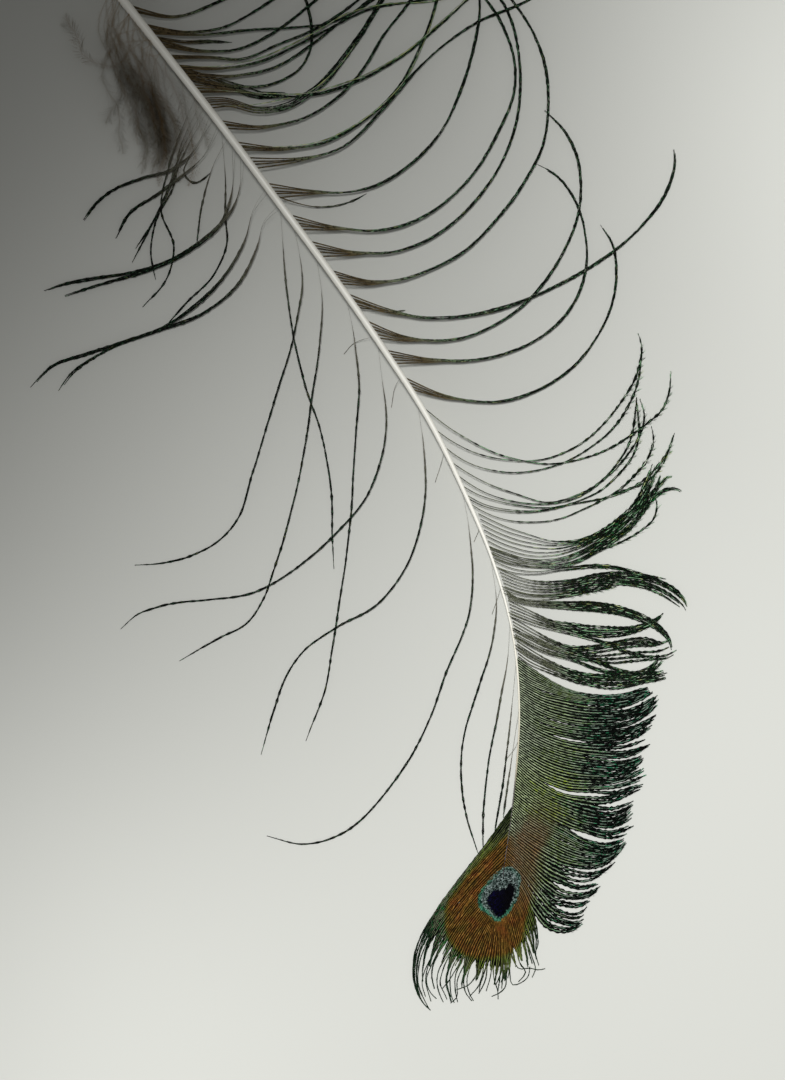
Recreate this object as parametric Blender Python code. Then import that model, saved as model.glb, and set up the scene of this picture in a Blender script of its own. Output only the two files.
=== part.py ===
"""A peacock's tail feather, lying flat with its eye at the origin and its quill at +Y.

One solid: the shaft, the plate of barbs round the eye, and the loose locks, all grown
together. Routes are in millimetres in plan, seen from above; the surface it lies on is z = 0.
"""

import math

import bpy
import bmesh
from mathutils import Vector

MM = 0.001

# Shaft: (x, y, radius, height of its middle) from the quill's end to under the eye.
SHAFT = (
    (-152.0, 307.0, 1.1, 1.05),
    (-150.0, 304.5, 1.5, 1.42),
    (-140.0, 291.7, 1.65, 2.1),
    (-128.0, 276.5, 1.6, 3.4),
    (-115.0, 259.8, 1.45, 5.0),
    (-102.3, 243.7, 1.25, 6.2),
    (-91.5, 230.0, 1.15, 7.0),
    (-75.9, 210.0, 1.1, 7.7),
    (-61.0, 190.0, 1.05, 7.8),
    (-46.2, 170.0, 1.0, 7.4),
    (-32.3, 150.0, 0.95, 6.6),
    (-19.5, 130.0, 0.85, 5.5),
    (-9.7, 110.0, 0.7, 4.2),
    (-1.5, 90.0, 0.6, 3.0),
    (3.7, 70.0, 0.5, 2.0),
    (5.3, 50.0, 0.45, 1.3),
    (4.1, 30.0, 0.42, 1.0),
    (1.5, 10.0, 0.4, 0.9),
    (0.0, -6.0, 0.35, 0.8),
)
SHAFT_SIDES = 8
SHAFT_STEP = 9.0

# Loose strands on the left, from the shaft to the tip.
LEFT_STRANDS = (
    ((-71.0, 204.0), (-71.4, 194.4), (-73.7, 187.8), (-79.8, 181.1), (-89.0, 175.0), (-100.2, 170.9),
     (-111.9, 169.0), (-120.6, 167.3), (-127.4, 164.9)),
    ((-73.4, 206.8), (-74.4, 189.8), (-76.7, 184.2), (-84.9, 176.8), (-96.1, 171.4), (-106.8, 168.4),
     (-120.7, 163.9)),
    ((-76.5, 211.0), (-75.5, 196.0), (-75.5, 184.7), (-75.0, 179.6), (-78.8, 169.9), (-85.9, 162.8),
     (-92.0, 156.1)),
    ((-64.0, 194.2), (-67.8, 188.0), (-70.1, 179.6), (-75.2, 170.4), (-82.3, 162.8), (-92.6, 155.6),
     (-103.3, 151.8), (-114.5, 148.0), (-122.7, 145.2), (-129.8, 138.3)),
    ((-60.5, 189.4), (-65.3, 184.0), (-66.5, 178.6), (-72.1, 167.3), (-81.3, 159.7), (-94.1, 154.6),
     (-108.4, 149.2), (-118.1, 142.6), (-121.9, 137.2)),
    ((-79.0, 214.5), (-85.0, 203.0), (-89.7, 199.2), (-99.2, 196.4), (-106.3, 193.5), (-110.4, 190.3),
     (-115.1, 184.2)),
    ((-77.0, 211.5), (-82.0, 202.0), (-86.4, 198.0), (-94.1, 192.3), (-101.7, 187.2), (-105.8, 180.1)),
    ((-80.0, 215.8), (-88.0, 201.0), (-90.5, 194.9), (-95.1, 185.2), (-101.1, 173.5)),
    ((-82.0, 218.4), (-88.5, 203.0), (-89.5, 195.4), (-94.6, 184.7), (-96.1, 176.0), (-94.8, 168.8)),
    ((-74.5, 208.2), (-78.8, 200.0), (-82.1, 188.8), (-83.6, 178.1)),
    ((-57.5, 185.2), (-55.5, 177.6), (-54.4, 168.2), (-55.7, 158.4), (-57.6, 149.4), (-62.2, 135.1),
     (-67.9, 116.1), (-72.2, 102.9), (-77.1, 97.2), (-84.7, 93.0), (-95.1, 90.4), (-100.5, 90.2)),
    ((-60.5, 189.4), (-59.3, 173.6), (-57.3, 155.7), (-53.5, 139.6), (-49.8, 128.7), (-47.3, 116.7),
     (-46.1, 105.2), (-46.1, 98.3), (-45.7, 89.2)),
    ((-50.8, 176.0), (-49.0, 163.0), (-49.7, 150.0), (-51.9, 134.7), (-54.4, 119.0), (-58.2, 101.8),
     (-62.2, 89.1), (-65.1, 81.1), (-69.9, 73.9), (-77.1, 70.2), (-88.2, 63.9)),
    ((-43.0, 165.0), (-40.3, 153.5), (-38.8, 140.5), (-39.8, 125.3), (-40.9, 105.2), (-43.0, 88.0),
     (-46.1, 67.3), (-48.0, 56.8), (-53.4, 41.8)),
    ((-33.8, 152.0), (-32.7, 142.3), (-31.2, 129.9), (-32.6, 119.6), (-36.1, 110.4), (-46.1, 98.0),
     (-59.9, 86.8), (-68.5, 82.5), (-80.1, 80.7), (-93.9, 78.8), (-99.9, 76.6), (-104.4, 72.7)),
    ((-22.8, 135.5), (-21.0, 121.9), (-20.6, 109.8), (-22.3, 98.9), (-26.9, 88.0), (-34.0, 79.4),
     (-45.5, 72.7), (-53.7, 66.9), (-58.9, 59.7), (-62.3, 49.9), (-65.7, 38.1)),
    ((-10.8, 112.3), (-8.5, 100.0), (-7.6, 88.0), (-8.8, 75.9), (-11.0, 69.6), (-14.9, 60.3),
     (-19.5, 47.7), (-30.9, 28.3), (-42.7, 16.9), (-54.5, 13.4), (-64.2, 15.7)),
    ((-2.8, 93.5), (-1.1, 79.4), (-2.0, 69.6), (-5.9, 56.5), (-9.9, 43.8), (-10.7, 32.8), (-8.8, 19.6),
     (-5.8, 9.9)),
    ((2.6, 75.1), (2.1, 64.8), (-0.1, 52.3), (-3.0, 37.0), (-4.6, 20.1), (-4.8, 11.4)),
    ((4.4, 64.4), (3.0, 48.6), (0.7, 30.1), (-1.6, 15.4)),
)

# Loose strands on the right, from the shaft to the tip, lowest first.
RIGHT_STRANDS = (
    ((-26.6, 141.5), (-15.1, 136.7), (-7.5, 135.3), (-0.5, 135.2), (9.7, 138.0), (20.0, 144.7),
     (26.3, 152.5), (30.3, 160.5), (32.0, 169.9), (30.9, 178.4), (27.6, 183.8)),
    ((-31.6, 149.2), (-18.7, 146.7), (-9.7, 146.4), (0.0, 148.0), (10.6, 152.5), (17.8, 158.8),
     (21.8, 165.4), (23.8, 173.5), (23.6, 180.2), (20.4, 191.0), (15.1, 197.6), (10.2, 200.3)),
    ((-37.5, 157.5), (-26.3, 153.0), (-18.7, 151.8), (-9.7, 152.8), (0.0, 157.1), (8.4, 163.7),
     (16.4, 174.4), (20.9, 184.6), (22.2, 194.4), (21.3, 202.0), (17.8, 209.6), (11.5, 216.1)),
    ((-42.4, 164.8), (-31.2, 160.4), (-21.8, 158.3), (-12.9, 158.3), (0.0, 160.7), (9.7, 164.3),
     (20.0, 169.4), (31.6, 176.8), (39.6, 184.2), (45.4, 192.2), (48.1, 200.7), (47.3, 207.8)),
    ((-47.1, 171.3), (-34.3, 168.1), (-28.5, 168.3), (-20.9, 170.7), (-12.0, 175.1), (0.0, 186.3),
     (7.1, 196.2), (11.5, 205.1), (13.3, 219.4), (12.0, 229.3), (4.4, 244.2), (-1.0, 250.5), (-8.0, 255.0)),
    ((-53.0, 179.4), (-38.8, 176.0), (-30.7, 176.0), (-21.8, 178.7), (-12.9, 184.3), (-2.3, 196.2),
     (2.6, 206.0), (5.3, 216.8), (5.5, 227.5), (1.3, 244.0), (-9.0, 256.0)),
    ((-58.0, 186.3), (-44.6, 182.9), (-35.2, 182.1), (-26.3, 183.6), (-17.3, 188.3), (-6.6, 198.9),
     (-0.1, 210.1), (4.0, 220.8), (3.8, 229.4), (0.0, 240.0), (-11.0, 254.0)),
    ((-64.4, 194.9), (-51.3, 192.9), (-43.2, 192.5), (-34.3, 194.4), (-25.4, 199.8), (-16.4, 209.2),
     (-10.8, 220.8), (-7.3, 232.4), (-5.6, 244.0), (-8.0, 257.0), (-13.0, 266.0)),
    ((-73.0, 206.3), (-57.5, 204.7), (-49.0, 206.0), (-37.0, 212.7), (-27.6, 222.1), (-23.1, 230.1),
     (-18.2, 243.1), (-15.5, 257.0), (-19.0, 269.0)),
    ((-67.7, 199.3), (-54.8, 201.4), (-43.2, 205.1), (-32.5, 215.2), (-21.8, 227.5), (-14.2, 234.2),
     (-5.3, 240.0), (3.9, 243.8), (20.0, 252.0)),
    ((-77.5, 212.3), (-65.5, 210.7), (-53.0, 213.4), (-44.1, 219.2), (-37.4, 227.0), (-32.1, 235.9),
     (-26.0, 243.5), (-16.0, 259.0), (-13.0, 272.0)),
    ((-81.5, 217.6), (-75.4, 217.7), (-66.4, 215.3), (-57.9, 216.5), (-49.9, 221.7), (-42.8, 230.1),
     (-36.5, 239.1), (-28.0, 255.0), (-26.0, 274.0)),
    ((-84.6, 221.5), (-72.0, 220.5), (-62.0, 219.0), (-53.0, 219.2), (-41.4, 222.3), (-27.1, 230.1),
     (-17.3, 238.2), (-11.5, 243.5), (4.0, 259.0)),
    ((-79.0, 214.3), (-71.0, 219.0), (-62.9, 221.2), (-56.6, 224.1), (-53.0, 229.3), (-51.7, 236.8),
     (-52.8, 243.5), (-56.0, 252.0)),
    ((-87.8, 225.5), (-70.9, 224.9), (-62.0, 227.0), (-52.1, 233.0), (-45.4, 238.4), (-33.0, 249.0),
     (-28.0, 259.0)),
    ((-89.0, 227.0), (-77.1, 226.6), (-66.4, 228.4), (-55.7, 233.0), (-45.0, 238.8), (-37.9, 242.4),
     (-22.0, 245.5), (-2.0, 248.5)),
    ((-91.2, 229.9), (-79.8, 229.7), (-71.3, 229.3), (-61.1, 233.3), (-49.0, 238.6), (-34.0, 249.5)),
    ((-95.0, 234.6), (-81.2, 231.5), (-73.1, 231.7), (-63.3, 235.9), (-53.0, 243.8), (-45.0, 251.0),
     (-39.0, 261.0)),
    ((-96.6, 236.8), (-82.1, 235.9), (-70.0, 237.2), (-56.6, 238.0), (-47.7, 239.1), (-32.0, 248.0),
     (-23.0, 257.0)),
    ((-98.0, 238.4), (-85.2, 236.6), (-76.3, 238.0), (-69.1, 241.5), (-57.0, 251.0), (-52.0, 260.0)),
    ((-101.8, 243.1), (-88.8, 240.9), (-79.8, 244.0), (-69.0, 250.0), (-60.0, 262.0)),
    ((-106.5, 249.0), (-96.0, 248.0), (-84.0, 253.0), (-76.0, 261.0), (-73.0, 269.0)),
    ((-22.0, 134.3), (-9.2, 124.8), (0.5, 120.5), (9.7, 118.5), (18.4, 118.5), (26.5, 120.5),
     (33.7, 124.1), (40.1, 128.2), (46.4, 137.9), (47.0, 143.7)),
    ((-18.2, 127.9), (-6.1, 121.0), (2.6, 118.8), (10.7, 119.0), (21.9, 123.3), (31.1, 131.5),
     (36.7, 140.4), (38.8, 149.8), (37.9, 154.3)),
    ((-16.2, 123.6), (-3.6, 116.8), (5.1, 115.7), (14.3, 116.9), (25.0, 122.6), (34.2, 131.2),
     (39.4, 141.9), (40.4, 148.0)),
    ((-13.3, 117.6), (-8.7, 115.9), (2.0, 110.8), (15.3, 107.4), (21.9, 108.8), (31.1, 116.4),
     (37.2, 126.1), (38.0, 136.6)),
    ((-9.4, 109.5), (5.6, 104.8), (18.9, 106.5), (33.2, 109.8), (40.3, 114.9), (45.4, 119.5),
     (47.8, 126.5)),
)

# Thick tufts on the right between the loose strands and the dense vane: (width, route).
TUFTS = (
    (2.2, ((-7.0, 104.2), (5.0, 99.5), (15.0, 97.0), (25.0, 98.3), (30.0, 101.0), (35.0, 106.0),
           (42.0, 119.0))),
    (4.6, ((-4.8, 99.6), (5.0, 95.5), (14.0, 94.0), (25.0, 95.8), (34.0, 102.0), (41.0, 109.5),
           (48.4, 114.5))),
    (2.4, ((-3.0, 94.5), (5.0, 91.5), (12.0, 90.3), (25.0, 93.0), (35.0, 100.0), (43.0, 108.5),
           (50.8, 109.8))),
    (1.6, ((-1.7, 90.5), (15.0, 90.0), (27.0, 89.8), (35.0, 89.0), (48.0, 84.5))),
    (4.4, ((-0.3, 86.5), (10.0, 84.5), (20.0, 84.5), (30.0, 86.5), (40.0, 85.5), (49.0, 81.0),
           (51.5, 77.0))),
    (1.8, ((1.5, 80.3), (15.0, 80.0), (30.0, 78.3), (40.0, 75.5), (45.5, 71.0), (47.7, 65.8))),
    (3.0, ((2.7, 76.5), (10.0, 76.2), (20.0, 73.0), (30.0, 72.2), (40.0, 73.3), (46.0, 77.0), (47.0, 80.0))),
    (2.8, ((3.5, 72.0), (10.0, 70.5), (20.0, 67.0), (29.0, 67.5), (35.0, 70.0), (42.0, 70.3), (46.0, 68.5))),
    (2.6, ((4.2, 67.5), (10.0, 67.0), (20.0, 64.0), (33.3, 63.1), (44.8, 64.4), (49.6, 66.9))),
    (3.2, ((4.7, 63.0), (10.0, 62.5), (20.0, 59.5), (30.0, 57.3), (40.0, 58.0), (48.3, 59.5))),
)

# Bottom locks that curl out from the vane at the lower right: (width, route).
CURLED_LOCKS = (
    (1.6, ((1.1, 7.0), (8.0, 3.0), (12.0, -2.0), (15.5, -5.5), (20.0, -7.0), (23.6, -5.2), (24.8, -2.0))),
    (1.6, ((0.6, 1.0), (5.0, -1.5), (11.0, -6.2), (15.0, -9.3), (18.5, -10.8), (23.3, -8.0))),
)

# Downy locks at the base of the vane: (width, route).
DOWN_LOCKS = (
    (7.0, ((-113.0, 257.2), (-111.0, 245.0), (-104.5, 234.0), (-98.0, 223.0), (-94.5, 211.5),
           (-90.0, 199.0))),
    (3.0, ((-119.0, 265.0), (-120.0, 254.0), (-117.0, 240.0), (-113.0, 231.0), (-108.0, 223.0),
           (-102.0, 214.0))),
    (4.0, ((-116.0, 261.0), (-124.0, 256.0), (-132.0, 255.0), (-139.0, 258.0))),
    (4.0, ((-122.0, 268.8), (-130.0, 264.5), (-138.0, 264.5), (-144.0, 269.0))),
    (3.5, ((-127.5, 275.8), (-135.0, 272.0), (-142.0, 275.0))),
    (4.0, ((-109.0, 252.2), (-103.0, 256.0), (-97.0, 263.0), (-95.0, 272.0))),
    (4.0, ((-115.0, 259.8), (-108.0, 263.0), (-103.0, 270.0), (-102.0, 279.0))),
    (3.5, ((-121.0, 267.5), (-114.0, 271.0), (-110.0, 277.0), (-110.0, 285.0))),
)

# Barbs that shape the plate round the eye, from the shaft to the tip: (barbs up to the next, route).
RIGHT_VANE = (
    (5, ((5.0, 60.0), (10.0, 58.0), (20.0, 54.0), (30.0, 52.5), (38.0, 53.5), (45.5, 57.0))),
    (6, ((5.3, 50.0), (10.0, 48.0), (20.0, 44.5), (30.0, 43.5), (36.0, 45.0), (44.0, 50.0))),
    (6, ((5.2, 40.0), (10.0, 37.5), (20.0, 33.5), (30.0, 32.5), (38.5, 37.0), (41.5, 41.0))),
    (6, ((4.1, 30.0), (10.0, 26.0), (20.0, 22.0), (29.0, 21.5), (36.0, 25.0), (40.5, 30.0))),
    (5, ((2.8, 20.0), (10.0, 15.0), (19.0, 10.5), (25.0, 9.5), (31.0, 11.5), (35.5, 15.5))),
    (4, ((1.7, 12.0), (5.0, 9.3), (11.0, 4.5), (18.0, 0.5), (24.0, -0.5), (29.5, 3.0))),
    (3, ((1.1, 6.0), (5.0, 2.0), (9.0, -2.0), (14.0, -5.5), (19.0, -7.0), (24.0, -5.0))),
    (3, ((0.5, 0.0), (4.0, -4.0), (8.0, -8.0), (10.5, -12.0), (10.5, -15.5), (10.5, -20.0))),
    (3, ((0.1, -4.0), (2.5, -8.0), (5.0, -12.0), (6.0, -16.0), (6.5, -19.5), (7.5, -22.5))),
    (1, ((0.0, -6.0), (0.3, -10.0), (0.4, -14.0), (0.3, -18.5), (0.8, -22.5), (1.5, -27.5))),
)
LEFT_VANE = (
    (4, ((0.5, -5.0), (0.9, -9.0), (1.1, -14.0), (0.8, -19.0), (-0.3, -24.0), (-1.5, -29.0))),
    (4, ((0.3, -2.5), (-2.5, -8.0), (-5.5, -14.0), (-8.0, -19.0), (-9.5, -24.5), (-10.5, -30.0))),
    (3, ((0.6, 2.0), (-5.0, -4.0), (-10.0, -11.0), (-14.0, -18.0), (-16.0, -25.0), (-15.5, -31.0))),
    (3, ((1.3, 8.0), (-5.5, 2.5), (-12.0, -5.5), (-17.5, -14.5), (-19.8, -24.0), (-17.5, -32.0))),
    (2, ((2.2, 15.0), (-5.0, 7.5), (-12.5, -1.0), (-19.0, -12.0), (-22.2, -22.0), (-19.5, -32.0))),
    (1, ((3.1, 22.0), (-3.5, 12.8), (-12.0, 2.7), (-20.0, -10.0), (-23.6, -22.0), (-20.5, -31.0))),
)
VANE_STATIONS = 6
VANE_RIDGE = 1.0
VANE_GROOVE = 0.6
VANE_EDGE = 0.45
SHORT_BARB = 0.93
VANE_LAP = 0.25

STRAND_WIDTH = 1.4
STRAND_STEP = 7.0
LOCK_STEP = 6.0
FEWEST_STEPS = 5
ROOT_SINK = 0.45
LOW_ARCH, HIGH_ARCH, FLAT_ARCH = 1.2, 3.4, 0.5

GREEN_BROWN = (0.10, 0.11, 0.055, 1.0)


def smooth_route(points, step):
    """Points about `step` apart on a smooth curve through `points`; extra values are smoothed with them."""
    knots = [Vector(point) for point in points]
    spans = [max((b.xy - a.xy).length, 1e-6) for a, b in zip(knots, knots[1:])]
    slopes = [(b - a) / span for a, b, span in zip(knots, knots[1:], spans)]
    tangents = [slopes[0]]
    for before, after, span_before, span_after in zip(slopes, slopes[1:], spans, spans[1:]):
        tangents.append((before * span_after + after * span_before) / (span_before + span_after))
    tangents.append(slopes[-1])
    steps = max(FEWEST_STEPS, round(sum(spans) / step))
    line = []
    for number in range(steps + 1):
        along = sum(spans) * number / steps
        index = 0
        while index < len(spans) - 1 and along > spans[index]:
            along -= spans[index]
            index += 1
        span = spans[index]
        t = min(along / span, 1.0)
        line.append(
            knots[index] * (2 * t**3 - 3 * t**2 + 1)
            + tangents[index] * span * (t**3 - 2 * t**2 + t)
            + knots[index + 1] * (3 * t**2 - 2 * t**3)
            + tangents[index + 1] * span * (t**3 - t**2)
        )
    return line


def plan_direction(line, index):
    """Unit vector along the line at a point, in plan."""
    ahead = line[min(index + 1, len(line) - 1)]
    behind = line[max(index - 1, 0)]
    return (ahead.xy - behind.xy).normalized()


def shaft_height(y):
    """Height of the shaft's middle where it passes this y."""
    for upper, lower in zip(SHAFT, SHAFT[1:]):
        if y >= lower[1]:
            share = min(max((upper[1] - y) / (upper[1] - lower[1]), 0.0), 1.0)
            return upper[3] + (lower[3] - upper[3]) * share
    return SHAFT[-1][3]


def mesh_object(name, model):
    """A new object from a bmesh given in millimetres, with its faces facing out."""
    bmesh.ops.recalc_face_normals(model, faces=model.faces)
    bmesh.ops.scale(model, vec=(MM, MM, MM), verts=model.verts)
    mesh = bpy.data.meshes.new(name)
    model.to_mesh(mesh)
    model.free()
    piece = bpy.data.objects.new(name, mesh)
    bpy.context.scene.collection.objects.link(piece)
    return piece


def skin_rings(model, rings):
    """Joins rings of vertices into one tube and closes both its ends."""
    for first, second in zip(rings, rings[1:]):
        for index, vertex in enumerate(first):
            following = (index + 1) % len(first)
            model.faces.new((vertex, first[following], second[following], second[index]))
    model.faces.new(rings[0])
    model.faces.new(rings[-1])


def shaft():
    """The shaft: round in section, and tapered to a hair under the eye."""
    line = smooth_route([(x, y, height, radius) for x, y, radius, height in SHAFT], SHAFT_STEP)
    model = bmesh.new()
    rings = []
    for index, (x, y, height, radius) in enumerate(line):
        along = plan_direction(line, index)
        ring = []
        for side in range(SHAFT_SIDES):
            angle = 2 * math.pi * (side + 0.5) / SHAFT_SIDES
            across = radius * math.cos(angle)
            up = radius * math.sin(angle)
            ring.append(model.verts.new((x - along.y * across, y + along.x * across, height + up)))
        rings.append(ring)
    skin_rings(model, rings)
    return mesh_object("feather", model)


def lock(name, route, width, arch, step):
    """A lock of barbs: flat below and ridged above, from inside the shaft to a tip on the surface."""
    line = smooth_route(route, step)
    root = shaft_height(route[0][1]) - ROOT_SINK
    model = bmesh.new()
    rings = []
    for index, point in enumerate(line):
        t = index / (len(line) - 1)
        along = plan_direction(line, index)
        across = Vector((-along.y, along.x)) * 0.5 * width * (0.5 + 0.5 * math.sin(math.pi * min(t * 1.4, 1.0)))
        across *= 1.0 - 0.25 * t**4
        low = root * (1.0 - t) ** 1.6 + arch * math.sin(math.pi * t)
        high = low + 0.35 + 0.3 * across.length
        rings.append([
            model.verts.new((point.x - across.x, point.y - across.y, low)),
            model.verts.new((point.x + across.x, point.y + across.y, low)),
            model.verts.new((point.x, point.y, high)),
        ])
    skin_rings(model, rings)
    return mesh_object(name, model)


def vane_barbs(guides, root_shift):
    """All the plate's barbs, each a list of stations, filled in between the guides."""
    lines = []
    for _, route in guides:
        route = [(route[0][0] + root_shift, route[0][1]), *route[1:]]
        fine = smooth_route(route, 1.0)
        picks = [round(station * (len(fine) - 1) / VANE_STATIONS) for station in range(VANE_STATIONS + 1)]
        lines.append([fine[pick] for pick in picks])
    barbs = []
    for (count, _), line, following in zip(guides, lines, lines[1:]):
        for number in range(count):
            share = number / count
            barbs.append([a.lerp(b, share) for a, b in zip(line, following)])
    barbs.append(lines[-1])
    return barbs


def vane(name, guides, root_shift):
    """A plate of barbs: flat below, with a ridge on every other barb and a fringed edge."""
    model = bmesh.new()
    tops, bottoms = [], []
    for number, barb in enumerate(vane_barbs(guides, root_shift)):
        ridged = number % 2 == 0
        crest = VANE_RIDGE if ridged else VANE_GROOVE
        top, bottom = [], []
        for station, point in enumerate(barb):
            if station == VANE_STATIONS and not ridged:
                point = barb[-2].lerp(point, 1 - (1 - SHORT_BARB) * VANE_STATIONS)
            height = shaft_height(barb[0].y) if station == 0 else crest
            if station == VANE_STATIONS:
                height = VANE_EDGE
            top.append(model.verts.new((point.x, point.y, height)))
            bottom.append(model.verts.new((point.x, point.y, 0.0)))
        tops.append(top)
        bottoms.append(bottom)
    for top, next_top, bottom, next_bottom in zip(tops, tops[1:], bottoms, bottoms[1:]):
        for station in range(VANE_STATIONS):
            a, b = station, station + 1
            model.faces.new((top[a], top[b], next_top[b], next_top[a]))
            model.faces.new((bottom[a], next_bottom[a], next_bottom[b], bottom[b]))
        model.faces.new((top[0], next_top[0], next_bottom[0], bottom[0]))
        model.faces.new((top[-1], bottom[-1], next_bottom[-1], next_top[-1]))
    for top, bottom in ((tops[0], bottoms[0]), (tops[-1], bottoms[-1])):
        for a in range(VANE_STATIONS):
            model.faces.new((top[a], bottom[a], bottom[a + 1], top[a + 1]))
    bmesh.ops.triangulate(model, faces=model.faces)
    return mesh_object(name, model)


def all_locks():
    """Every lock as its own closed helper shape."""
    shapes = []
    for side, strands in (("left", LEFT_STRANDS), ("right", RIGHT_STRANDS)):
        for number, route in enumerate(strands):
            arch = HIGH_ARCH if number % 2 else LOW_ARCH
            shapes.append(lock(f"{side}_strand_{number:02d}", route, STRAND_WIDTH, arch, STRAND_STEP))
    for kind, arch, locks in (
        ("tuft", FLAT_ARCH, TUFTS),
        ("curled_lock", 0.0, CURLED_LOCKS),
        ("down", FLAT_ARCH, DOWN_LOCKS),
    ):
        for number, (width, route) in enumerate(locks):
            shapes.append(lock(f"{kind}_{number:02d}", route, width, arch, LOCK_STEP))
    return shapes


def feather_material():
    """Dark green-brown, a little glossy."""
    material = bpy.data.materials.new("barbs")
    material.use_nodes = True
    shader = material.node_tree.nodes["Principled BSDF"]
    shader.inputs["Base Color"].default_value = GREEN_BROWN
    shader.inputs["Roughness"].default_value = 0.5
    shader.inputs["Metallic"].default_value = 0.0
    return material


def fuse(piece, shapes):
    """Grows the shapes and the piece into one solid."""
    group = bpy.data.collections.new("grown_on_shaft")
    bpy.context.scene.collection.children.link(group)
    for shape in shapes:
        bpy.context.scene.collection.objects.unlink(shape)
        group.objects.link(shape)
        shape.hide_render = True
        shape.display_type = "WIRE"
    union = piece.modifiers.new("grown_together", "BOOLEAN")
    union.operation = "UNION"
    union.operand_type = "COLLECTION"
    union.collection = group


def main():
    for old in list(bpy.data.objects):
        bpy.data.objects.remove(old)
    piece = shaft()
    piece.data.materials.append(feather_material())
    shapes = [vane("vane_right", RIGHT_VANE, -VANE_LAP), vane("vane_left", LEFT_VANE, VANE_LAP)]
    fuse(piece, shapes + all_locks())


main()
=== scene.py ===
"""A peacock's tail feather lying flat on a pale surface, seen from straight above.

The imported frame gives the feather's place, size and reach. This script grows its shaft, barbs
and down round that frame and dresses them. Places are in millimetres, in the frame's own axes.
"""

import logging
import math
from dataclasses import dataclass
from enum import Enum

import bpy
import numpy as np
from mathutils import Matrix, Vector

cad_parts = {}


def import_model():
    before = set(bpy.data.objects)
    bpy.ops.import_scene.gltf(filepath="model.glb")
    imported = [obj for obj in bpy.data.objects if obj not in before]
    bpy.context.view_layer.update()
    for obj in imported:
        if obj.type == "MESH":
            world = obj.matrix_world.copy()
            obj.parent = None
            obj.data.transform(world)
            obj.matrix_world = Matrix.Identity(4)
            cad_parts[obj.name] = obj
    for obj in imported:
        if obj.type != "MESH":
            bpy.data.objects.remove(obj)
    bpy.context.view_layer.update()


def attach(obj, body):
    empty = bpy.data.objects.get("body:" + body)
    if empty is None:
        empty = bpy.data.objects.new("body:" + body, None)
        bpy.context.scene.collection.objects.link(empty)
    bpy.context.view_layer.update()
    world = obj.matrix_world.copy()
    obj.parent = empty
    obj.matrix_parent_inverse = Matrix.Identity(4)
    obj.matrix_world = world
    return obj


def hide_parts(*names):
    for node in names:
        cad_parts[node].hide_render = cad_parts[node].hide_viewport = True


MM = 0.001
NODE = "feather"
BODY = "root"
UP = np.array((0.0, 0.0, 1.0))
# Heights over the surface, in millimetres: of a barb that lies flat, and the least of any point.
REST_HEIGHT = 0.62
LEAST_HEIGHT = 0.03
# Points worked out from one given point of a route to the next.
POINTS_A_SPAN = 12
# The least length of a barbule, and about how far a barbule's colour is off its place along the barb.
LEAST_BARBULE = 0.03
MARK_JITTER = 0.14
# Keeps the chances of neighbouring barbs apart when their own numbers go into a noise.
BARB_ROWS = 57.0
LOG = logging.getLogger("feather")

Route = tuple[tuple[float, ...], ...]
Place = tuple[float, float, float]
Colour = tuple[float, float, float, float]
Socket = bpy.types.NodeSocket
Value = Socket | float | tuple[float, ...]


class Slot(Enum):
    """The record's material slots."""

    BARBS = "barbs"
    EYE = "eye"
    SHAFT = "shaft"
    DOWN = "down"


# Shaft: (x, y, radius, height of its middle) from the quill's end to under the eye.
SHAFT_ROUTE: Route = (
    (-152.0, 307.0, 1.0, 1.05), (-150.0, 304.5, 1.45, 1.42), (-140.0, 291.7, 1.6, 2.1),
    (-128.0, 276.5, 1.55, 3.4), (-115.0, 259.8, 1.4, 5.0), (-102.3, 243.7, 1.2, 6.2),
    (-91.5, 230.0, 1.12, 7.0), (-75.9, 210.0, 1.06, 7.7), (-61.0, 190.0, 1.0, 7.8),
    (-46.2, 170.0, 0.95, 7.4), (-32.3, 150.0, 0.88, 6.6), (-19.5, 130.0, 0.76, 5.5),
    (-9.7, 110.0, 0.58, 4.2), (-1.5, 90.0, 0.4, 3.0), (3.7, 70.0, 0.28, 2.0),
    (5.3, 50.0, 0.24, 1.3), (4.1, 30.0, 0.2, 1.05), (2.4, 16.0, 0.14, 0.98), (1.5, 10.0, 0.12, 0.92),
    (1.1, 7.0, 0.1, 0.8), (0.6, 2.0, 0.06, 0.3), (0.0, -6.0, 0.05, 0.12),
)


def srgb(red: int, green: int, blue: int) -> Colour:
    """A colour in linear light from screen values.

    Args:
        red: 0 to 255.
        green: 0 to 255.
        blue: 0 to 255.

    Returns:
        Linear red, green, blue and an alpha of 1.
    """
    linear = [((v / 255 + 0.055) / 1.055) ** 2.4 if v > 10 else v / 255 / 12.92 for v in (red, green, blue)]
    return (*linear, 1.0)


def unit(vectors: np.ndarray) -> np.ndarray:
    """The vectors, each at length 1."""
    return vectors / np.maximum(np.linalg.norm(vectors, axis=-1, keepdims=True), 1e-9)


def run_along(line: np.ndarray) -> np.ndarray:
    """How far along a line each of its points is."""
    return np.concatenate(((0.0,), np.cumsum(np.linalg.norm(np.diff(line, axis=0), axis=1))))


def axes_along(line: np.ndarray) -> tuple[np.ndarray, np.ndarray, np.ndarray]:
    """A line's own axes.

    Args:
        line: x, y and height of its points.

    Returns:
        Unit vectors ahead, to the left and out of its back, one a point.
    """
    ahead = unit(np.gradient(line, axis=0))
    side = unit(np.cross(UP, ahead))
    return ahead, side, np.cross(ahead, side)


def left_of(plan: np.ndarray) -> np.ndarray:
    """Unit vectors to the left of a line in plan, one a point."""
    return unit(np.column_stack((-np.gradient(plan[:, 1]), np.gradient(plan[:, 0]))))


def between(ends: tuple[float, float], share: np.ndarray | float) -> np.ndarray | float:
    """The value that lies a share of the way from the first end to the second."""
    return ends[0] + (ends[1] - ends[0]) * share


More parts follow.
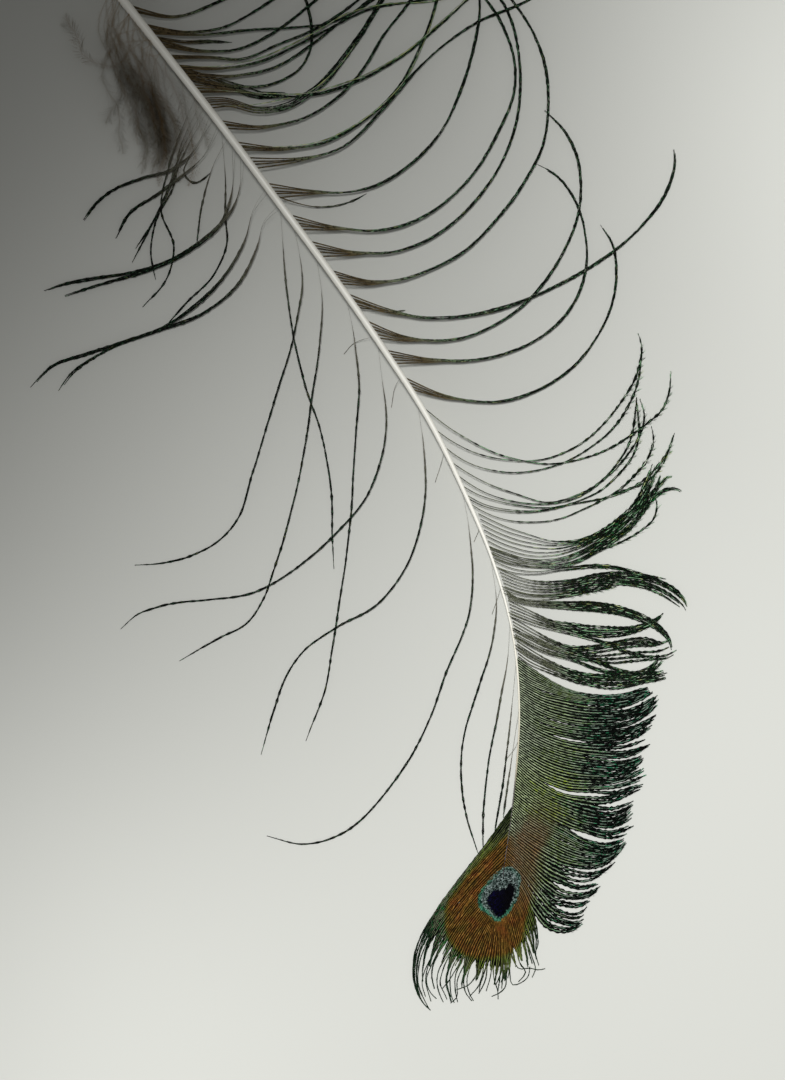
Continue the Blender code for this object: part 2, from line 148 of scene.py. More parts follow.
def within(ends: tuple[float, float], value: np.ndarray) -> np.ndarray:
    """How far a value has come from the first end to the second, 0 to 1."""
    return np.clip((value - ends[0]) / (ends[1] - ends[0]), 0, 1)


def smooth_route(points: Route, spacing: float) -> np.ndarray:
    """Evenly spaced points on a smooth curve through given ones.

    Args:
        points: The route; values past x and y are smoothed with them.
        spacing: About how far apart the points come, in millimetres.

    Returns:
        One row a point, with as many columns as the route has.
    """
    knots = np.array(points, float)
    spans = np.maximum(np.linalg.norm(np.diff(knots[:, :2], axis=0), axis=1), 1e-6)
    slopes = np.diff(knots, axis=0) / spans[:, None]
    tangents = np.vstack((slopes[:1], slopes[-1:]))
    if len(knots) > 2:
        before, after = spans[:-1, None], spans[1:, None]
        middle = (slopes[:-1] * after + slopes[1:] * before) / (before + after)
        tangents = np.vstack((slopes[:1], middle, slopes[-1:]))
    t = np.linspace(0.0, 1.0, POINTS_A_SPAN, endpoint=False)[:, None]
    rows = []
    for i, span in enumerate(spans):
        rows.append(
            knots[i] * (2 * t**3 - 3 * t**2 + 1)
            + tangents[i] * span * (t**3 - 2 * t**2 + t)
            + knots[i + 1] * (3 * t**2 - 2 * t**3)
            + tangents[i + 1] * span * (t**3 - t**2)
        )
    line = np.vstack((*rows, knots[-1:]))
    return evenly(line, max(6, round(spans.sum() / spacing)))


def evenly(line: np.ndarray, steps: int) -> np.ndarray:
    """The line resampled at equal steps in plan.

    Args:
        line: Points of a line.
        steps: How many steps the new line has.

    Returns:
        One more point than steps.
    """
    run = run_along(line[:, :2])
    at = np.linspace(0.0, run[-1], steps + 1)
    return np.column_stack([np.interp(at, run, column) for column in line.T])


SHAFT_LINE = smooth_route(SHAFT_ROUTE, 1.0)


def on_shaft(y: float) -> np.ndarray:
    """Where the shaft passes a place along it.

    Args:
        y: The place.

    Returns:
        x, y and height of the shaft's middle there.
    """
    rows = SHAFT_LINE[::-1]
    x, height = (np.interp(y, rows[:, 1], rows[:, column]) for column in (0, 3))
    return np.array((x, y, height))


class MeshBuffer:
    """Collects points, triangles and values of many barbs for one mesh."""

    def __init__(self) -> None:
        """Starts empty."""
        self.points: list[np.ndarray] = []
        self.triangles: list[np.ndarray] = []
        self.values: list[np.ndarray] = []
        self.count = 0

    def add(self, points: np.ndarray, triangles: np.ndarray, values: np.ndarray) -> None:
        """Adds a shape.

        Args:
            points: Its points, in millimetres.
            triangles: Its triangles, as indices into points.
            values: For each point: millimetres along the barb, the barb's own number, how far out
                from its ramus, and the share along the barb.
        """
        self.points.append(points)
        self.triangles.append(triangles + self.count)
        self.values.append(values)
        self.count += len(points)

    def build(self, name: str) -> bpy.types.Object:
        """Makes one object of all that was added.

        Args:
            name: The object's name.

        Returns:
            The object, linked to the scene.
        """
        points = np.concatenate(self.points)
        points[:, 2] = np.maximum(points[:, 2], LEAST_HEIGHT)
        points *= MM
        triangles = np.concatenate(self.triangles).astype(np.int32)
        mesh = bpy.data.meshes.new(name)
        mesh.vertices.add(len(points))
        mesh.vertices.foreach_set("co", points.astype(np.float32).ravel())
        mesh.loops.add(triangles.size)
        mesh.loops.foreach_set("vertex_index", triangles.ravel())
        mesh.polygons.add(len(triangles))
        mesh.polygons.foreach_set("loop_start", np.arange(0, triangles.size, 3, dtype=np.int32))
        mesh.update(calc_edges=True)
        attribute = mesh.attributes.new("barb", "FLOAT_COLOR", "POINT")
        attribute.data.foreach_set("color", np.concatenate(self.values).astype(np.float32).ravel())
        mesh.shade_smooth()
        made = bpy.data.objects.new(name, mesh)
        bpy.context.scene.collection.objects.link(made)
        return made


def strip_triangles(rows: int, across: int, closed: bool) -> np.ndarray:
    """Triangles that skin a grid of points.

    Args:
        rows: Points along it.
        across: Points across it.
        closed: Whether its last column meets its first.

    Returns:
        Index triples.
    """
    columns = across if closed else across - 1
    row, column = np.meshgrid(np.arange(rows - 1), np.arange(columns), indexing="ij")
    a = (row * across + column).ravel()
    b = (row * across + (column + 1) % across).ravel()
    return np.concatenate((np.stack((a, b, b + across), 1), np.stack((a, b + across, a + across), 1)))


@dataclass(frozen=True)
class BarbStyle:
    """How one kind of barb is made; lengths in millimetres.

    Args:
        ramus: Radius of its spine at the root and at the tip.
        web: Width of the close inner part of its barbules, in the plain part and in the bushy part.
        blade: Length of a barbule, in the plain part and in the bushy part.
        bushy: Shares along the barb between which it turns from plain to bushy.
        thick: Width of a barbule at its foot.
        spacing: Distance between barbules along one side.
        bare: Length of spine with no barbules at the root.
        cover: Length over which barbules then reach their full size.
        lean: Angle between a barbule and the barb, in degrees.
        bunch: Distance between bunches of barbules.
        depth: How strongly they bunch, 0 to 1.
        inner: Length of the barbules on the inner side against those on the outer side.
        twist: How far the barb turns about itself, in radians.
        lift: How far barbules rise or sink, against their length.
        tent: How steeply the web falls away from the spine.
        bend: How strongly a barbule curves towards the barb's tip.
    """

    ramus: tuple[float, float] = (0.15, 0.06)
    web: tuple[float, float] = (0.34, 0.5)
    blade: tuple[float, float] = (0.3, 0.6)
    bushy: tuple[float, float] = (0.2, 0.8)
    thick: float = 0.16
    spacing: float = 0.22
    bare: float = 6.0
    cover: float = 8.0
    lean: float = 34.0
    bunch: float = 2.1
    depth: float = 0.7
    inner: float = 0.7
    twist: float = 0.6
    lift: float = 0.3
    tent: float = 0.55
    bend: float = 0.6


@dataclass(frozen=True)
class Stem:
    """A barb's spine, one row a point.

    Args:
        line: x, y and height of its middle.
        ahead: Unit vectors along it.
        side: Unit vectors to its left.
        flat: Unit vectors across its barbules, which turn with the barb.
        over: Unit vectors out of its back.
        run: Millimetres along it.
        share: Share along it.
        seed: The barb's own number.
    """

    line: np.ndarray
    ahead: np.ndarray
    side: np.ndarray
    flat: np.ndarray
    over: np.ndarray
    run: np.ndarray
    share: np.ndarray
    seed: float


class BarbGrower:
    """Turns a line into a barb: its spine, its close web and its barbules."""

    def __init__(self, buffer: MeshBuffer, rng: np.random.Generator) -> None:
        """Takes the buffer to fill and the seeded source of chance."""
        self.buffer = buffer
        self.rng = rng

    def grow(self, line: np.ndarray, style: BarbStyle, width: np.ndarray | None = None) -> None:
        """Adds one barb.

        Args:
            line: x, y and height of its spine from root to tip.
            style: How it is made.
            width: Width of its web at each point, where it isn't the style's.
        """
        rng = self.rng
        seed = rng.random()
        run = run_along(line)
        share = run / run[-1]
        ahead, side, over = axes_along(line)
        turn = style.twist * np.sin(run / (7.0 + 5.0 * seed) + 6.3 * rng.random()) * np.clip(run / 25.0, 0, 1)
        flat = side * np.cos(turn)[:, None] + over * np.sin(turn)[:, None]
        stem = Stem(line, ahead, side, flat, over, run, share, seed)
        late = style.bare * (0.8 + 0.4 * rng.random())
        cover = np.clip((run - late) / style.cover, 0, 1) if style.bare else np.ones_like(run)
        taper = cover * np.clip((1.02 - share) / 0.1, 0.2, 1)
        bushy = within(style.bushy, share)
        self.spine(stem, between(style.ramus, share**0.7))
        keep = cover > 0
        if keep.sum() > 2:
            web = between(style.web, bushy) if width is None else width
            long = between(style.blade, bushy) * taper
            sway = style.depth * (0.25 + 0.75 * bushy)
            web = web * taper * (1 + 0.45 * sway * self.beat(run, seed, style))
            self.web(stem, web, keep, style.tent)
            for hand, part in ((-1.0, 1.0), (1.0, style.inner)):
                self.barbules(stem, long * part, sway, style, hand)

    def spine(self, stem: Stem, radius: np.ndarray) -> None:
        """Adds the three-sided tube of a spine.

        Args:
            stem: The spine.
            radius: Its radius at each point.
        """
        rings = []
        for angle in (math.pi / 2, math.pi * 7 / 6, math.pi * 11 / 6):
            out = stem.side * math.cos(angle) + stem.over * math.sin(angle)
            rings.append(stem.line + radius[:, None] * out)
        points = np.stack(rings, 1).reshape(-1, 3)
        seeds = np.full_like(stem.run, stem.seed)
        values = np.repeat(np.column_stack((stem.run, seeds, stem.run * 0, stem.share)), 3, 0)
        self.buffer.add(points, strip_triangles(len(stem.line), 3, True), values)

    @staticmethod
    def beat(run: np.ndarray, seed: float, style: BarbStyle, shift: float = 0.0) -> np.ndarray:
        """How far barbules are bunched at places along a barb, -1 to 1.

        Args:
            run: Millimetres along it.
            seed: The barb's own number.
            style: How it is made.
            shift: Share of a bunch by which one side runs ahead.

        Returns:
            A value for each place.
        """
        drift = 0.35 * np.sin(run / (style.bunch * 2.7))
        return np.sin(2 * math.pi * (run / style.bunch + seed * 7 + drift + shift))

    def web(self, stem: Stem, width: np.ndarray, keep: np.ndarray, tent: float) -> None:
        """Adds the close part of the barbules as a tented strip.

        Args:
            stem: The spine.
            width: The strip's width at each point.
            keep: Which of the points have it.
            tent: How steeply the strip falls away from its middle.
        """
        line, flat, over, run, share = (
            rows[keep] for rows in (stem.line, stem.flat, stem.over, stem.run, stem.share)
        )
        seed = stem.seed
        wave = 1.0 + 0.2 * np.sin(run * 3.1 + seed * 40.0) + 0.12 * np.sin(run * 7.3 + seed * 90.0)
        half = (0.5 * width[keep] * wave)[:, None]
        left, right = line + flat * half, line - flat * half
        middle = line + over * 0.02
        drop = over * (tent * half)
        points = np.stack((left - drop, middle, right - drop), 1).reshape(-1, 3)
        out = np.tile((0.5, 0.3, 0.5), len(line))
        rows = seed + 0.06 * half * np.array(((1.0, 0.0, -1.0),))
        values = np.column_stack((np.repeat(run, 3), rows.ravel(), out, np.repeat(share, 3)))
        self.buffer.add(points, strip_triangles(len(line), 3, False)[:, ::-1], values)

    def barbules(self, stem: Stem, long: np.ndarray, sway: np.ndarray, style: BarbStyle, hand: float) -> None:
        """Adds the barbules of one side.

        Args:
            stem: The spine.
            long: Length of barbules at each of its points.
            sway: How strongly they bunch there.
            style: How the barb is made.
            hand: 1 for its left side, -1 for its right.
        """
        rng, run = self.rng, stem.run
        count = int(run[-1] / style.spacing)
        at = (np.arange(count) + rng.random(count)) * style.spacing
        at = at[np.interp(at, run, long) > LEAST_BARBULE]
        count = len(at)
        if not count:
            return

        def pick(rows: np.ndarray) -> np.ndarray:
            """The rows' values at the barbules' feet."""
            return np.column_stack([np.interp(at, run, column) for column in rows.T])

        base, along = pick(stem.line), unit(pick(stem.ahead))
        across, up = unit(pick(stem.flat)) * hand, unit(pick(stem.over))
        pull = np.interp(at, run, sway) * self.beat(at, stem.seed, style, 0.15 * hand)
        lean = np.radians(style.lean * (1 + 0.4 * pull + 0.2 * rng.standard_normal(count)))
        size = np.interp(at, run, long) * (1 + 0.8 * pull + 0.18 * rng.standard_normal(count))
        size = np.maximum(size, 0.12 * style.blade[0])[:, None]
        rise = up * (style.lift * (rng.standard_normal(count) - 0.3))[:, None]
        reach = along * np.cos(lean)[:, None] + across * np.sin(lean)[:, None]
        foot = along * (0.5 * style.thick * (0.7 + 0.6 * rng.random(count)))[:, None]
        middle = base + foot + size * (0.55 * reach + 0.3 * rise)
        tip = base + size * (0.55 * reach + 0.45 * unit(reach + style.bend * along) + rise)
        points = np.stack((base - foot, base + foot, middle, tip), 1)
        faces = np.array(((0, 1, 2), (0, 2, 3)))
        if hand > 0:
            faces = faces[:, ::-1]
        triangles = (np.arange(count)[:, None, None] * 4 + faces[None]).reshape(-1, 3)
        out = np.tile((0.25, 0.25, 0.7, 1.0), count)
        marked = np.repeat(at + MARK_JITTER * rng.standard_normal(count), 4)
        values = np.column_stack((marked, np.full(count * 4, stem.seed), out, np.repeat(at / run[-1], 4)))
        self.buffer.add(points.reshape(-1, 3), triangles, values)


def wander(run: np.ndarray, rng: np.random.Generator, size: float) -> np.ndarray:
    """A slow sideways drift along a barb.

    Args:
        run: Millimetres along it.
        rng: The source of chance.
        size: About how far it drifts, in millimetres.

    Returns:
        The drift at each point, nothing at the root.
    """
    drift = np.zeros_like(run)
    for period, share in ((38.0, 0.6), (17.0, 0.3), (7.0, 0.1)):
        drift += share * np.sin(2 * math.pi * (run / period + rng.random()))
    return drift * size * np.clip(run / 20.0, 0, 1)


@dataclass(frozen=True)
class Clump:
    """Barbs that leave the shaft side by side and run together.

    Args:
        roots: y on the shaft of its first and its last root.
        count: Number of barbs.
        route: The clump's middle, from the shaft to the tip.
        width: How wide the gathered clump's spines lie in its middle.
        tip: How wide they lie at its tip.
        gather: Millimetres over which the roots come together.
        arch: How high it bows off the surface.
        uneven: Share of the length by which its tips differ.
    """

    roots: tuple[float, float]
    count: int
    route: Route
    width: float = 0.35
    tip: float = 0.3
    gather: float = 18.0
    arch: float = 0.6
    uneven: float = 0.05

    def lines(self, rng: np.random.Generator) -> list[np.ndarray]:
        """The spines of its barbs.

        Args:
            rng: The source of chance.

        Returns:
            A list of x, y and height rows.
        """
        line = smooth_route(self.route, 1.1)
        share = np.linspace(0.0, 1.0, len(line))
        across = left_of(line)
        places = np.linspace(1.0, -1.0, self.count) if self.count > 1 else np.zeros(1)
        slots = rng.permutation(places) if self.count > 3 else places
        run = share * len(line) * 1.1
        apart = (1 - np.clip(run / self.gather, 0, 1)) ** 1.35
        mixed = np.clip((share - 0.3) / 0.5, 0, 1) * 0.7
        spread = 0.5 * np.interp(share, (0, 0.6, 1), (self.width, self.width, self.tip))
        made = []
        for place, slot in zip(places, slots):
            root_y = between(self.roots, (1 - place) / 2)
            root = on_shaft(float(root_y) + 0.12 * rng.standard_normal() * (self.count > 1))
            order = place * (1 - mixed) + slot * mixed
            offset = order * spread * (1 - apart) + wander(run, rng, 0.1 + 0.08 * self.width)
            plan = line + (root[:2] - line[0]) * apart[:, None] + across * offset[:, None]
            height = (root[2] - 0.1) * (1 - share) ** 2.2 + self.arch * np.sin(math.pi * share)
            height = height + 0.35 + 0.6 * rng.random() * np.clip(share * 4, 0, 1) * (self.count > 1)
            whole = np.column_stack((plan, height))
            end = 1 - self.uneven * rng.random() * (self.count > 1)
            made.append(whole[: max(6, int(round(len(whole) * end)))])
        return made


def lone(route: Route, arch: float = 0.6) -> Clump:
    """A single barb along a route from the shaft, bowed off the surface by its arch."""
    return Clump((route[0][1],) * 2, 1, route, arch=arch)


@dataclass(frozen=True)
class Slit:
    """A gap between two neighbouring bundles of a vane.

    Args:
        root: y on the shaft of the line that it follows.
        start: Share along the barbs where it opens.
        end: Share along the barbs where it closes.
        width: Its width, in millimetres.
    """

    root: float
    start: float
    end: float
    width: float


@dataclass(frozen=True)
class Vane:
    """Barbs that lie side by side, filled in between given guides.

    Args:
        style: How its barbs are made.
        guides: Routes from the shaft to the tip, in order along the shaft.
        spacing: Distance between barbs, in millimetres.
        measure: Share along the barbs where that distance is measured.
        slits: Gaps between its bundles.
        bundle: Barbs that draw together at their tips, about.
        draw: How strongly they draw together, 0 to 1.
        loose: Shares along the barbs between which the vane opens into bundles.
        hair: Width of a barb's web past that, in millimetres.
        uneven: Share of the length by which tips differ.
        fill: Width of a barb's web against the gap to its neighbours; 0 takes the style's own.
        lap: How far the roots reach past the shaft's middle.
        drift: About how far each barb wanders sideways.
        stray: About how far a bundle's tip lies from its place.
        fall: How soon the barbs come down from the shaft to the surface.
        arch: How high they bow off the surface.
        pile: How far they lie over and under one another.
        stations: Steps along each barb.
    """

    style: BarbStyle
    guides: tuple[Route, ...]
    spacing: float
    measure: float = 0.1
    slits: tuple[Slit, ...] = ()
    bundle: float = 3.0
    draw: float = 0.5
    loose: tuple[float, float] = (0.6, 1.0)
    hair: float = 0.6
    uneven: float = 0.08
    fill: float = 1.25
    lap: float = 0.0
    drift: float = 0.14
    stray: float = 0.3
    fall: float = 5.0
    arch: float = 0.0
    pile: float = 0.22
    stations: int = 60

    def plans(self) -> np.ndarray:
        """The barbs' lines in plan, evenly spaced between the guides.

        Returns:
            x and y by barb and by step along it.
        """
        grids = np.stack([evenly(smooth_route(guide, 1.0), self.stations) for guide in self.guides])
        at = int(self.measure * self.stations)
        gaps = np.linalg.norm(np.diff(grids[:, at], axis=0), axis=1) + 1e-3
        run = np.concatenate(((0.0,), np.cumsum(gaps)))
        made = []
        for place in np.linspace(0, run[-1], int(run[-1] / self.spacing) + 1):
            where = float(np.interp(place, run, np.arange(len(run))))
            low = min(int(where), len(run) - 2)
            made.append(grids[low] * (1 - where + low) + grids[low + 1] * (where - low))
        plans = np.stack(made)
        plans[:, 0] -= self.lap * unit(plans[:, 1] - plans[:, 0])
        return plans

    def lines(self, rng: np.random.Generator) -> list[tuple[np.ndarray, np.ndarray | None]]:
        """Spines and web widths of its barbs, from the first guide to the last.

        Args:
            rng: The source of chance.

        Returns:
            A list of spines with their web widths.
        """
        plans = self.plans()
        roots = plans[:, 0, 1]
        share = np.linspace(0.0, 1.0, self.stations + 1)
        gaps = np.gradient(plans, axis=0)
        toward, ahead = unit(gaps), unit(np.gradient(plans, axis=1))
        sideways = gaps - (gaps * ahead).sum(2, keepdims=True) * ahead
        widths = self.fill * np.linalg.norm(sideways, axis=2)
        for slit in self.slits:
            window = np.clip((share - slit.start) / 0.12, 0, 1) * np.clip((slit.end - share) / 0.1, 0, 1)
            window = window**0.6
            gap = (slit.root - roots)[:, None]
            push = np.where(gap < 0, -0.5, 0.5) * slit.width * np.exp(-np.abs(gap) / 2.2) * window[None]
            plans = plans + toward * push[..., None]
            beside = (np.abs(gap) < self.spacing) * window[None]
            widths = widths * (1 - beside) + np.minimum(widths, self.hair) * beside
        groups = np.cumsum(rng.random(len(roots)) < 1 / self.bundle)
        astray = self.stray * rng.standard_normal(groups[-1] + 1)
        short = self.uneven * rng.random(groups[-1] + 1) ** 1.3
        opened = within(self.loose, share)
        widths = np.clip(widths, 0.3, 1.6) + 0.4 * self.lap * np.clip(1 - share / 0.05, 0, 1)
        widths = widths * (1 - opened) ** 2 + self.hair * (1 - (1 - opened) ** 2)
        made = []
        for index, plan in enumerate(plans):
            mates = plans[groups == groups[index]].mean(0)
            pull = (self.draw * opened**0.8)[:, None]
            plan = plan * (1 - pull) + mates * pull
            length = np.linalg.norm(np.diff(plan, axis=0), axis=1).sum()
            apart = wander(share * length, rng, self.drift) + astray[groups[index]] * opened**1.4
            plan = plan + left_of(plan) * apart[:, None]
            root_height = max(on_shaft(float(roots[index]))[2] - 0.1, REST_HEIGHT)
            height = REST_HEIGHT + (root_height - REST_HEIGHT) * (1 - share) ** self.fall
            piled = self.pile * rng.random() * np.clip(share * 5, 0, 1)
            height += self.arch * np.sin(math.pi * share) + piled
            line = np.column_stack((plan, height))
            end = int(round(len(line) * (1 - short[groups[index]] - 0.04 * rng.random())))
            made.append((line[:end], widths[index][:end] if self.fill else None))
        return made


@dataclass
class Barbs:
    """Clumps and vanes that make one piece.

    Args:
        name: The piece's name.
        seed: Seed of its chance.
        style: How the clumps' barbs are made.
        clumps: The clumps.
        vanes: The vanes, each with its own style.
    """

    name: str
    seed: int
    style: BarbStyle
    clumps: tuple[Clump, ...] = ()
    vanes: tuple[Vane, ...] = ()

    def build(self) -> bpy.types.Object:
        """Grows every barb into one mesh.

        Returns:
            The piece.
        """
        rng = np.random.default_rng(self.seed)
        buffer = MeshBuffer()
        grower = BarbGrower(buffer, rng)
        for vane in self.vanes:
            for line, width in vane.lines(rng):
                grower.grow(line, vane.style, width)
        for clump in self.clumps:
            for line in clump.lines(rng):
                grower.grow(line, self.style)
        return buffer.build(self.name)


@dataclass
class Shaft:
    """The shaft: round, tapered, with faint ridges where barbs leave it.

    Args:
        name: The piece's name.
        sides: Faces round it.
        ridge: Height of the ridges along its sides, against its radius.
        ripple: Height of the ripples along them, against its radius.
        beat: How fast the ripples follow one another, in radians a millimetre.
    """

    name: str = "shaft"
    sides: int = 20
    ridge: float = 0.02
    ripple: float = 0.015
    beat: float = 1.7

    def build(self) -> bpy.types.Object:
        """Skins the shaft and closes its ends.

        Returns:
            The piece.
        """
        line = SHAFT_LINE
        middle, radius = line[:, (0, 1, 3)], line[:, 2]
        run = np.arange(len(line), dtype=float)
        _, side, over = axes_along(middle)
        angles = np.linspace(0, 2 * math.pi, self.sides, endpoint=False)
        rings = []
        for angle in angles:
            ripple = self.ripple * np.sin(run * self.beat) * abs(math.cos(angle))
            knob = 1 + self.ridge * math.cos(2 * angle) + ripple
            reach = (radius * knob)[:, None]
            rings.append(middle + reach * (side * math.cos(angle) + over * math.sin(angle)))
        points = np.stack(rings, 1).reshape(-1, 3)
        faces = strip_triangles(len(line), self.sides, True)
        caps = []
        for ring, flip in ((0, 1), (len(line) - 1, -1)):
            first = ring * self.sides
            for k in range(1, self.sides - 1):
                caps.append((first, first + k + 1, first + k)[::flip])
        around = np.tile(angles / (2 * math.pi), len(line))
        values = np.column_stack(
            (np.repeat(run, self.sides), around, around * 0, np.repeat(run / run[-1], self.sides))
        )
        buffer = MeshBuffer()
        buffer.add(points, np.concatenate((faces, np.array(caps))), values)
        return buffer.build(self.name)


class Graph:
    """Adds nodes to a material or a group in few words."""

    def __init__(self, tree: bpy.types.NodeTree) -> None:
        """Takes the tree to fill."""
        self.tree = tree

    def add(self, kind: str, settings: dict[str, str] | None = None, **inputs: Value) -> bpy.types.Node:
        """Adds one node.

        Args:
            kind: The node's type, without the leading "ShaderNode".
            settings: Properties to set on it.
            **inputs: Sockets by name, underscores for spaces, each a value or a socket to link.

        Returns:
            The node.
        """
        node = self.tree.nodes.new("ShaderNode" + kind)
        for key, value in (settings or {}).items():
            setattr(node, key, value)
        for key, value in inputs.items():
            self.feed(node.inputs[key.replace("_", " ")], value)
        return node

    def feed(self, socket: Socket, value: Value) -> None:
        """Links a socket to another one, or sets its value.

        Args:
            socket: The socket to feed.
            value: What feeds it.
        """
        if isinstance(value, Socket):
            self.tree.links.new(value, socket)
        else:
            socket.default_value = value

    def math(self, operation: str, *values: Value, clamp: bool = False) -> Socket:
        """The result of a math node.

        Args:
            operation: What it does.
            *values: What it works on.
            clamp: Whether its result is kept between 0 and 1.

        Returns:
            Its output.
        """
        node = self.tree.nodes.new("ShaderNodeMath")
        node.operation = operation
        node.use_clamp = clamp
        for socket, value in zip(node.inputs, values):
            self.feed(socket, value)
        return node.outputs[0]

    def plus(self, first: Value, second: Value, clamp: bool = False) -> Socket:
        """Two values added."""
        return self.math("ADD", first, second, clamp=clamp)

    def minus(self, first: Value, second: Value) -> Socket:
        """The second value taken from the first."""
        return self.math("SUBTRACT", first, second)

    def times(self, first: Value, second: Value) -> Socket:
        """Two values multiplied."""
        return self.math("MULTIPLY", first, second)

    def vector(self, x: Value, y: Value, z: Value = 0.0) -> Socket:
        """A vector of three values."""
        return self.add("CombineXYZ", X=x, Y=y, Z=z).outputs[0]

    def tone(self, value: Value) -> Socket:
        """A grey of one value."""
        return self.add("CombineColor", Red=value, Green=value, Blue=value).outputs[0]

    def barb(self) -> tuple[Socket, ...]:
        """Millimetres along the barb, its own number, how far out from its spine, and share along."""
        barb = self.add("Attribute", {"attribute_name": "barb"})
        return (*self.add("SeparateColor", Color=barb.outputs["Color"]).outputs, barb.outputs["Alpha"])

    def mix(self, share: Value, first: Value, second: Value, blend: str = "MIX") -> Socket:
        """Two colours mixed.

        Args:
            share: How much of the second there is.
            first: The first colour.
            second: The second colour.
            blend: How they mix.

        Returns:
            The colour.
        """
        node = self.tree.nodes.new("ShaderNodeMix")
        node.data_type = "RGBA"
        node.blend_type = blend
        for socket, value in ((node.inputs[0], share), (node.inputs[6], first), (node.inputs[7], second)):
            self.feed(socket, value)
        return node.outputs[2]

    def span(self, value: Value, low: float, high: float) -> Socket:
        """0 to 1 as a value goes from low to high, smoothly.

        Args:
            value: The value.
            low: Where the result is 0.
            high: Where it is 1.

        Returns:
            The result.
        """
        smooth = {"interpolation_type": "SMOOTHSTEP"}
        return self.add("MapRange", smooth, Value=value, From_Min=low, From_Max=high).outputs[0]

    def ramp(self, value: Value, stops: tuple[tuple[float, Colour], ...]) -> Socket:
        """A colour from a ramp.

        Args:
            value: Where on the ramp it is taken.
            stops: (place, colour) along the ramp.

        Returns:
            The colour.
        """
        node = self.add("ValToRGB", Fac=value)
        elements = node.color_ramp.elements
        for element, (place, colour) in zip(elements, (stops[0], stops[-1])):
            element.position = place
            element.color = colour
        for place, colour in stops[1:-1]:
            elements.new(place).color = colour
        return node.outputs["Color"]

    def noise(self, vector: Socket, scale: float = 1.0, detail: float = 2.0) -> Socket:
        """Smooth chance over a vector, 0 to 1.

        Args:
            vector: The vector.
            scale: How fast the chance changes over it.
            detail: How many finer layers it has.

        Returns:
            The chance.
        """
        return self.add("TexNoise", Vector=vector, Scale=scale, Detail=detail).outputs["Fac"]

    def group(self, tree: bpy.types.NodeTree, **inputs: Value) -> bpy.types.Node:
        """Places a node group.

        Args:
            tree: The group.
            **inputs: Its sockets by name, each a value or a socket to link.

        Returns:
            The node.
        """
        node = self.tree.nodes.new("ShaderNodeGroup")
        node.node_tree = tree
        for key, value in inputs.items():
            self.feed(node.inputs[key.replace("_", " ")], value)
        return node


def new_group(
    name: str, inputs: dict[str, str], outputs: dict[str, str]
) -> tuple[Graph, bpy.types.Node, bpy.types.Node]:
    """An empty shader node group.

    Args:
        name: Its name.
        inputs: Socket name to socket type.
        outputs: Socket name to socket type.

    Returns:
        Its graph, its input node and its output node.
    """
    tree = bpy.data.node_groups.new(name, "ShaderNodeTree")
    for sockets, side in ((inputs, "INPUT"), (outputs, "OUTPUT")):
        for socket, kind in sockets.items():
            tree.interface.new_socket(socket, in_out=side, socket_type="NodeSocket" + kind)
    graph = Graph(tree)
    return graph, tree.nodes.new("NodeGroupInput"), tree.nodes.new("NodeGroupOutput")


def barb_shade_group() -> bpy.types.NodeTree:
    """Colour of a barb: a pale spine that shows in dashes, a dark web, and barbules of which some gleam as
    painted highlights.

    Returns:
        The group.
    """
    graph, given, out = new_group(
        "barb_shade",
        {
            "Spine": "Color", "Dark": "Color", "Gleam": "Color",
            "Show": "Float", "Glow": "Float", "Rate": "Float",
        },
        {"Color": "Color", "Ridge": "Float"},
    )
    run, seed, far, _ = graph.barb()
    row = graph.times(seed, BARB_ROWS)
    shown = graph.noise(graph.vector(graph.times(run, given.outputs["Rate"]), row))
    bias = graph.times(graph.minus(1.0, given.outputs["Show"]), 0.62)
    spine = graph.span(graph.minus(shown, bias), 0.16, 0.26)
    spark = graph.noise(graph.vector(graph.times(run, 0.6), row, graph.times(far, 0.7)))
    # Painted glints: where the noise is low enough for the Glow share, the outer barbules take the Gleam
    # colour as a highlight.
    limit = graph.minus(spark, graph.times(given.outputs["Glow"], 0.4))
    gleam = graph.minus(1.0, graph.span(limit, 0.25, 0.3))
    gleam = graph.times(gleam, graph.span(far, 0.5, 0.65))
    ridge = graph.minus(1.0, graph.span(far, 0.33, 0.365))
    body = graph.mix(graph.times(spine, ridge), given.outputs["Dark"], given.outputs["Spine"])
    body = graph.mix(gleam, body, given.outputs["Gleam"])
    shade = graph.math("MAXIMUM", 0.04, graph.plus(-0.34, graph.times(spark, 2.16)))
    graph.feed(out.inputs["Color"], graph.mix(1.0, body, graph.tone(shade), "MULTIPLY"))
    graph.feed(out.inputs["Ridge"], ridge)
    return out.id_data


@dataclass(frozen=True)
class Outline:
    """A closed outline round a centre, in millimetres.

    Args:
        centre: Its centre.
        largest: A length that no radius is over.
        radii: (angle in degrees, radius) round it, from 0 to 360.
    """

    centre: tuple[float, float]
    largest: float
    radii: Route

    def reach(self, graph: Graph, x: Socket, y: Socket) -> Socket:
        """How far out a place is against the outline: 1 on it.

        Args:
            graph: The group being built.
            x: The place's x.
            y: The place's y.

        Returns:
            A socket.
        """
        dx, dy = graph.minus(x, self.centre[0]), graph.minus(y, self.centre[1])
        turn = graph.math("DIVIDE", graph.math("ARCTAN2", dy, dx), 2 * math.pi)
        node = graph.add("FloatCurve", Value=graph.math("FRACT", graph.plus(turn, 1.0)))
        curve = node.mapping.curves[0]
        for angle, radius in self.radii[1:-1]:
            curve.points.new(angle / 360, radius / self.largest)
        for point, place, row in ((curve.points[0], 0.0, 0), (curve.points[-1], 1.0, -1)):
            point.location = (place, self.radii[row][1] / self.largest)
        node.mapping.update()
        radius = graph.times(node.outputs[0], self.largest)
        away = graph.math("SQRT", graph.plus(graph.times(dx, dx), graph.times(dy, dy)))
        return graph.math("DIVIDE", away, radius)


